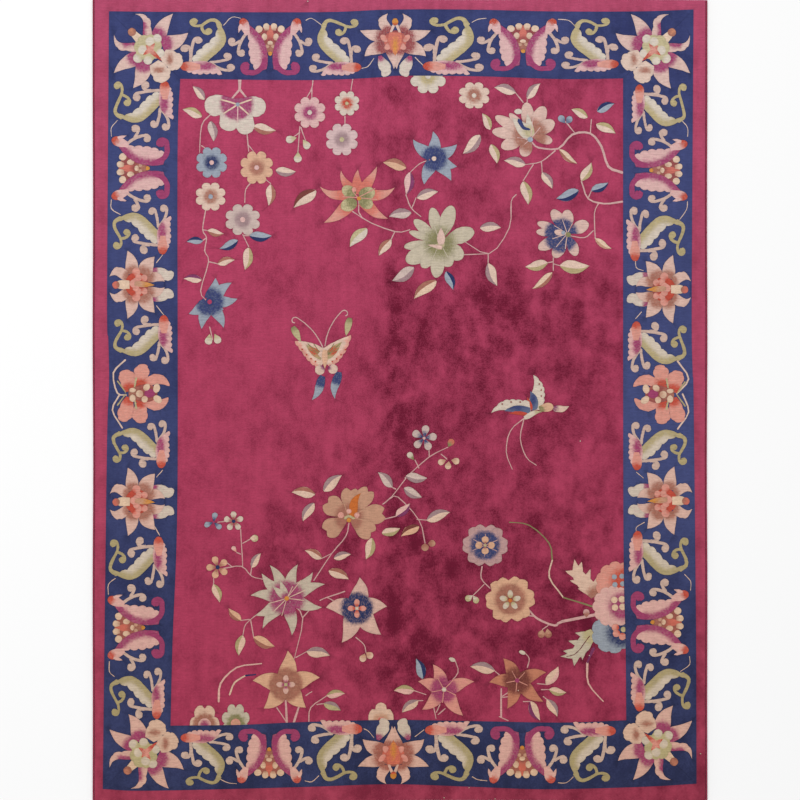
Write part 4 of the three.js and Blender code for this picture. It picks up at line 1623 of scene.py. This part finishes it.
def maths(tree, operation, first, second=None, clamp=False):
    """A Math node on sockets or numbers; returns its output."""
    node = tree.nodes.new("ShaderNodeMath")
    node.operation = operation
    node.use_clamp = clamp
    for socket, value in zip(node.inputs, (first, second)):
        if value is None:
            continue
        if isinstance(value, (int, float)):
            socket.default_value = value
        else:
            tree.links.new(value, socket)
    return node.outputs[0]


def times(tree, first, *others):
    """The product of sockets or numbers."""
    for other in others:
        first = maths(tree, "MULTIPLY", first, other)
    return first


def plus(tree, first, second, clamp=False):
    """The sum of two sockets or numbers."""
    return maths(tree, "ADD", first, second, clamp)


def less(tree, first, second):
    """The difference of two sockets or numbers."""
    return maths(tree, "SUBTRACT", first, second)


def stretched(tree, vector, scale):
    """The vector times a scale for each axis."""
    node = tree.nodes.new("ShaderNodeMapping")
    node.inputs["Scale"].default_value = scale
    tree.links.new(vector, node.inputs["Vector"])
    return node.outputs[0]


def noise(tree, vector, scale, detail, roughness):
    """Noise between about 0.2 and 0.8; returns its value."""
    node = tree.nodes.new("ShaderNodeTexNoise")
    node.inputs["Scale"].default_value = scale
    node.inputs["Detail"].default_value = detail
    node.inputs["Roughness"].default_value = roughness
    tree.links.new(vector, node.inputs["Vector"])
    return node.outputs["Fac"]


def knot_grain_group():
    """Values that change over a knotted surface: one per knot, the tips of the wool, streaks along the
    rows of knots, faint lines along the warps, blots of brushed pile, and slow clouds in the dye."""
    group, entry, leave = new_group(
        "knot_grain",
        [("Vector", "NodeSocketVector", None), ("Knot Size", "NodeSocketFloat", KNOT)],
        [(label, "NodeSocketFloat") for label in ("Knot", "Tips", "Streaks", "Warps", "Blots", "Clouds")],
    )
    vector = entry.outputs["Vector"]
    cell = group.nodes.new("ShaderNodeVectorMath")
    cell.operation = "SNAP"
    group.links.new(vector, cell.inputs[0])
    size = group.nodes.new("ShaderNodeCombineXYZ")
    for axis in "XYZ":
        group.links.new(entry.outputs["Knot Size"], size.inputs[axis])
    group.links.new(size.outputs[0], cell.inputs[1])
    white = group.nodes.new("ShaderNodeTexWhiteNoise")
    white.noise_dimensions = "3D"
    group.links.new(cell.outputs[0], white.inputs["Vector"])
    group.links.new(white.outputs["Value"], leave.inputs["Knot"])
    for label, stretch, scale, detail, roughness in (
        ("Tips", (1, 1, 1), 900, 2.0, 0.5),
        ("Streaks", (0.16, 1, 1), 170, 3.0, 0.6),
        ("Warps", (1, 0.05, 1), 60, 2.0, 0.5),
        ("Blots", (1, 0.8, 1), 15, 4.0, 0.6),
        ("Clouds", (1, 0.75, 1), 4.6, 3.0, 0.6),
    ):
        cloud = noise(group, stretched(group, vector, stretch), scale, detail, roughness)
        group.links.new(cloud, leave.inputs[label])
    return group


KNOT_GRAIN = knot_grain_group()


def placed_grain(tree):
    """The knot grain group in a material, on Object coordinates."""
    where = tree.nodes.new("ShaderNodeTexCoord")
    node = tree.nodes.new("ShaderNodeGroup")
    node.node_tree = KNOT_GRAIN
    tree.links.new(where.outputs["Object"], node.inputs["Vector"])
    return node.outputs


def swing(tree, value, amount):
    """1 + amount x (value - 0.5)."""
    return plus(tree, times(tree, less(tree, value, 0.5), amount), 1.0)


def attribute(tree, name, output="Fac"):
    """A named attribute of the mesh."""
    node = tree.nodes.new("ShaderNodeAttribute")
    node.attribute_name = name
    return node.outputs[output]


def wool(name, roughness, sheen):
    """A material with a wool finish: its constants on the Principled socket."""
    material = bpy.data.materials.new(name)
    material.use_nodes = True
    shader = material.node_tree.nodes["Principled BSDF"]
    shader.inputs["Roughness"].default_value = roughness
    shader.inputs["Specular IOR Level"].default_value = 0.1
    shader.inputs["Sheen Weight"].default_value = sheen
    shader.inputs["Sheen Roughness"].default_value = 0.55
    return material, material.node_tree, shader


def mixed(tree, factor, first, second):
    """Two colours, each a socket or a screen colour, mixed by a factor."""
    node = tree.nodes.new("ShaderNodeMix")
    node.data_type = "RGBA"
    tree.links.new(factor, node.inputs["Factor"])
    for number, colour in ((6, first), (7, second)):
        if isinstance(colour, tuple):
            node.inputs[number].default_value = (*linear(colour), 1)
        else:
            tree.links.new(colour, node.inputs[number])
    return node.outputs[2]


def tinted(tree, colour, value):
    """A colour times a value."""
    node = tree.nodes.new("ShaderNodeVectorMath")
    node.operation = "SCALE"
    tree.links.new(colour, node.inputs[0])
    tree.links.new(value, node.inputs["Scale"])
    return node.outputs[0]


def bumped(tree, shader, height, distance, strength):
    """A bump under the shader."""
    bump = tree.nodes.new("ShaderNodeBump")
    bump.inputs["Distance"].default_value = distance
    bump.inputs["Strength"].default_value = strength
    tree.links.new(height, bump.inputs["Height"])
    tree.links.new(bump.outputs["Normal"], shader.inputs["Normal"])


def yarn_colour(tree, grain, ground_swing, shade_swing):
    """The two yarns mixed by the shading, which breaks up knot by knot. On plain ground clouds, blots and
    streaks move the mix, and they move it more where the ground is darker: by (0.4 + blend) x ground_swing."""
    ground, blend = attribute(tree, "ground"), attribute(tree, "blend")
    uneven = times(tree, less(tree, grain["Knot"], 0.5), shade_swing)
    clouds = less(tree, plus(tree, grain["Clouds"], grain["Blots"]), 1.0)
    streaks = times(tree, less(tree, grain["Streaks"], 0.5), 0.5)
    amount = times(tree, plus(tree, blend, 0.4), ground_swing)
    on_ground = times(tree, plus(tree, clouds, streaks), amount, ground)
    factor = plus(tree, plus(tree, blend, uneven), on_ground, True)
    return mixed(tree, factor, attribute(tree, "yarn_a", "Color"), attribute(tree, "yarn_b", "Color"))


def pile_material():
    """Clipped wool: cut tips, knot by knot colour, streaks along the rows, painted shade in a dark line
    along the carved groove, and painted shade on the rounded rim, the sides and the underside."""
    material, tree, shader = wool("wool_pile_clipped", 0.95, 0.06)
    grain = placed_grain(tree)
    colour = yarn_colour(tree, grain, 2.0, 0.45)
    amounts = (("Knot", 0.16), ("Tips", 0.5), ("Streaks", 0.75), ("Warps", 0.2))
    # painted shade: a dark line along the carved groove, and a darker rounded rim, sides and underside
    depths = (("carve_and_shade", 0.34), ("rim", 0.12))
    swings = [swing(tree, grain[name], amount) for name, amount in amounts]
    cuts = [plus(tree, times(tree, attribute(tree, name), -depth), 1.0) for name, depth in depths]
    tone = times(tree, *swings, *cuts)
    tree.links.new(tinted(tree, colour, tone), shader.inputs["Base Color"])
    height = plus(tree, times(tree, grain["Knot"], 0.5), grain["Tips"])
    bumped(tree, shader, height, 0.0009, 0.4)
    return material


def web_material():
    """The back of the knots: crisp colours, ridges along the rows and fine cotton between them."""
    material, tree, shader = wool("knotted_back", 0.9, 0.08)
    grain = placed_grain(tree)
    colour = yarn_colour(tree, grain, 0.5, 0.1)
    where = tree.nodes.new("ShaderNodeTexCoord")
    ridges = tree.nodes.new("ShaderNodeTexWave")
    ridges.wave_type = "BANDS"
    ridges.bands_direction = "Y"
    ridges.inputs["Scale"].default_value = math.pi / 10 / KNOT
    ridges.inputs["Distortion"].default_value = 0.6
    tree.links.new(where.outputs["Object"], ridges.inputs["Vector"])
    weft = times(tree, less(tree, 1.0, ridges.outputs["Fac"]), 0.34)
    woven = mixed(tree, weft, colour, (196, 178, 160))
    tone = times(tree, swing(tree, grain["Knot"], 0.2), swing(tree, grain["Tips"], 0.3))
    tree.links.new(tinted(tree, woven, tone), shader.inputs["Base Color"])
    bumped(tree, shader, plus(tree, ridges.outputs["Fac"], grain["Knot"]), 0.0008, 0.7)
    return material


def cord_material():
    """Wool wound round the cord: dark crimson, lighter on the turns, with the fuzz of the yarn."""
    material, tree, shader = wool("wrapped_cord_wool", 0.9, 0.2)
    grain = placed_grain(tree)
    turns = plus(tree, grain["Streaks"], times(tree, grain["Knot"], 0.3), True)
    crimson = mixed(tree, turns, (112, 26, 48), (150, 46, 74))
    tone = swing(tree, grain["Tips"], 0.5)
    tree.links.new(tinted(tree, crimson, tone), shader.inputs["Base Color"])
    bumped(tree, shader, grain["Tips"], 0.0006, 0.6)
    return material


# ---------------------------------------------------------------- the rug

ground_of_the_rug()
field_flowers()
navy_border()
border_flowers()

outline = web_outline(0.009)
top_loop = outline - outward(outline) * EDGE_ROUND
place, triangles, owners, rim = weave(to_chart(top_loop))
yarns = corner_yarns(place, triangles, owners)
# the second value is the painted shade of the carved groove, for every corner of the top
depth, groove_shade = carved(place, triangles, owners)
pile = make_pile(place, triangles, rim, yarns, depth, groove_shade, outline)
web = make_web(place, triangles, yarns, rim, outline)
cords = [make_cord("side_cord_left", -1), make_cord("side_cord_right", 1)]

pile.data.materials.append(pile_material())
web.data.materials.append(web_material())
cord_wool = cord_material()
for cord, node in zip(cords, ("selvedge_left", "selvedge_right")):
    cord.data.materials.append(cord_wool)
    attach(cord, "root")
    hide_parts(node)

for piece in (pile, web):
    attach(piece, "root")
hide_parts("rug_pile")

# ---------------------------------------------------------------- floor, light and camera

floor_mesh = bpy.data.meshes.new("floor")
floor_mesh.from_pydata([(-9, -9, -0.0004), (9, -9, -0.0004), (9, 9, -0.0004), (-9, 9, -0.0004)], [],
    [(0, 1, 2, 3)])
floor = bpy.data.objects.new("floor", floor_mesh)
bpy.context.collection.objects.link(floor)
paper = bpy.data.materials.new("floor_paper")
paper.use_nodes = True
paper.node_tree.nodes["Principled BSDF"].inputs["Base Color"].default_value = (0.98, 0.98, 0.98, 1)
paper.node_tree.nodes["Principled BSDF"].inputs["Roughness"].default_value = 1.0
paper.node_tree.nodes["Principled BSDF"].inputs["Specular IOR Level"].default_value = 0.0
floor.data.materials.append(paper)

scene = bpy.context.scene
scene.view_settings.view_transform = "Standard"
world = bpy.data.worlds.new("studio")
world.use_nodes = True
world.node_tree.nodes["Background"].inputs["Color"].default_value = (1, 1, 1, 1)
world.node_tree.nodes["Background"].inputs["Strength"].default_value = 0.80
scene.world = world

lamp = bpy.data.lights.new("softbox", "AREA")
lamp.shape = "SQUARE"
lamp.size = 5
lamp.energy = 250
softbox = bpy.data.objects.new("softbox", lamp)
softbox.location = (-2.4, 3.0, 9.6)
softbox.rotation_euler = (Vector((0, 0, 0)) - softbox.location).to_track_quat("-Z", "Y").to_euler()
bpy.context.collection.objects.link(softbox)

CAMERA_HEIGHT = 14.0
SENSOR = 36.0
lens = bpy.data.cameras.new("overhead")
lens.sensor_width = SENSOR
lens.lens = SENSOR * CAMERA_HEIGHT / (0.998 * RUG_LENGTH)
lens.clip_end = 60
overhead = bpy.data.objects.new("overhead", lens)
overhead.location = (0, 0, CAMERA_HEIGHT + PILE_HEIGHT)
bpy.context.collection.objects.link(overhead)
scene.camera = overhead
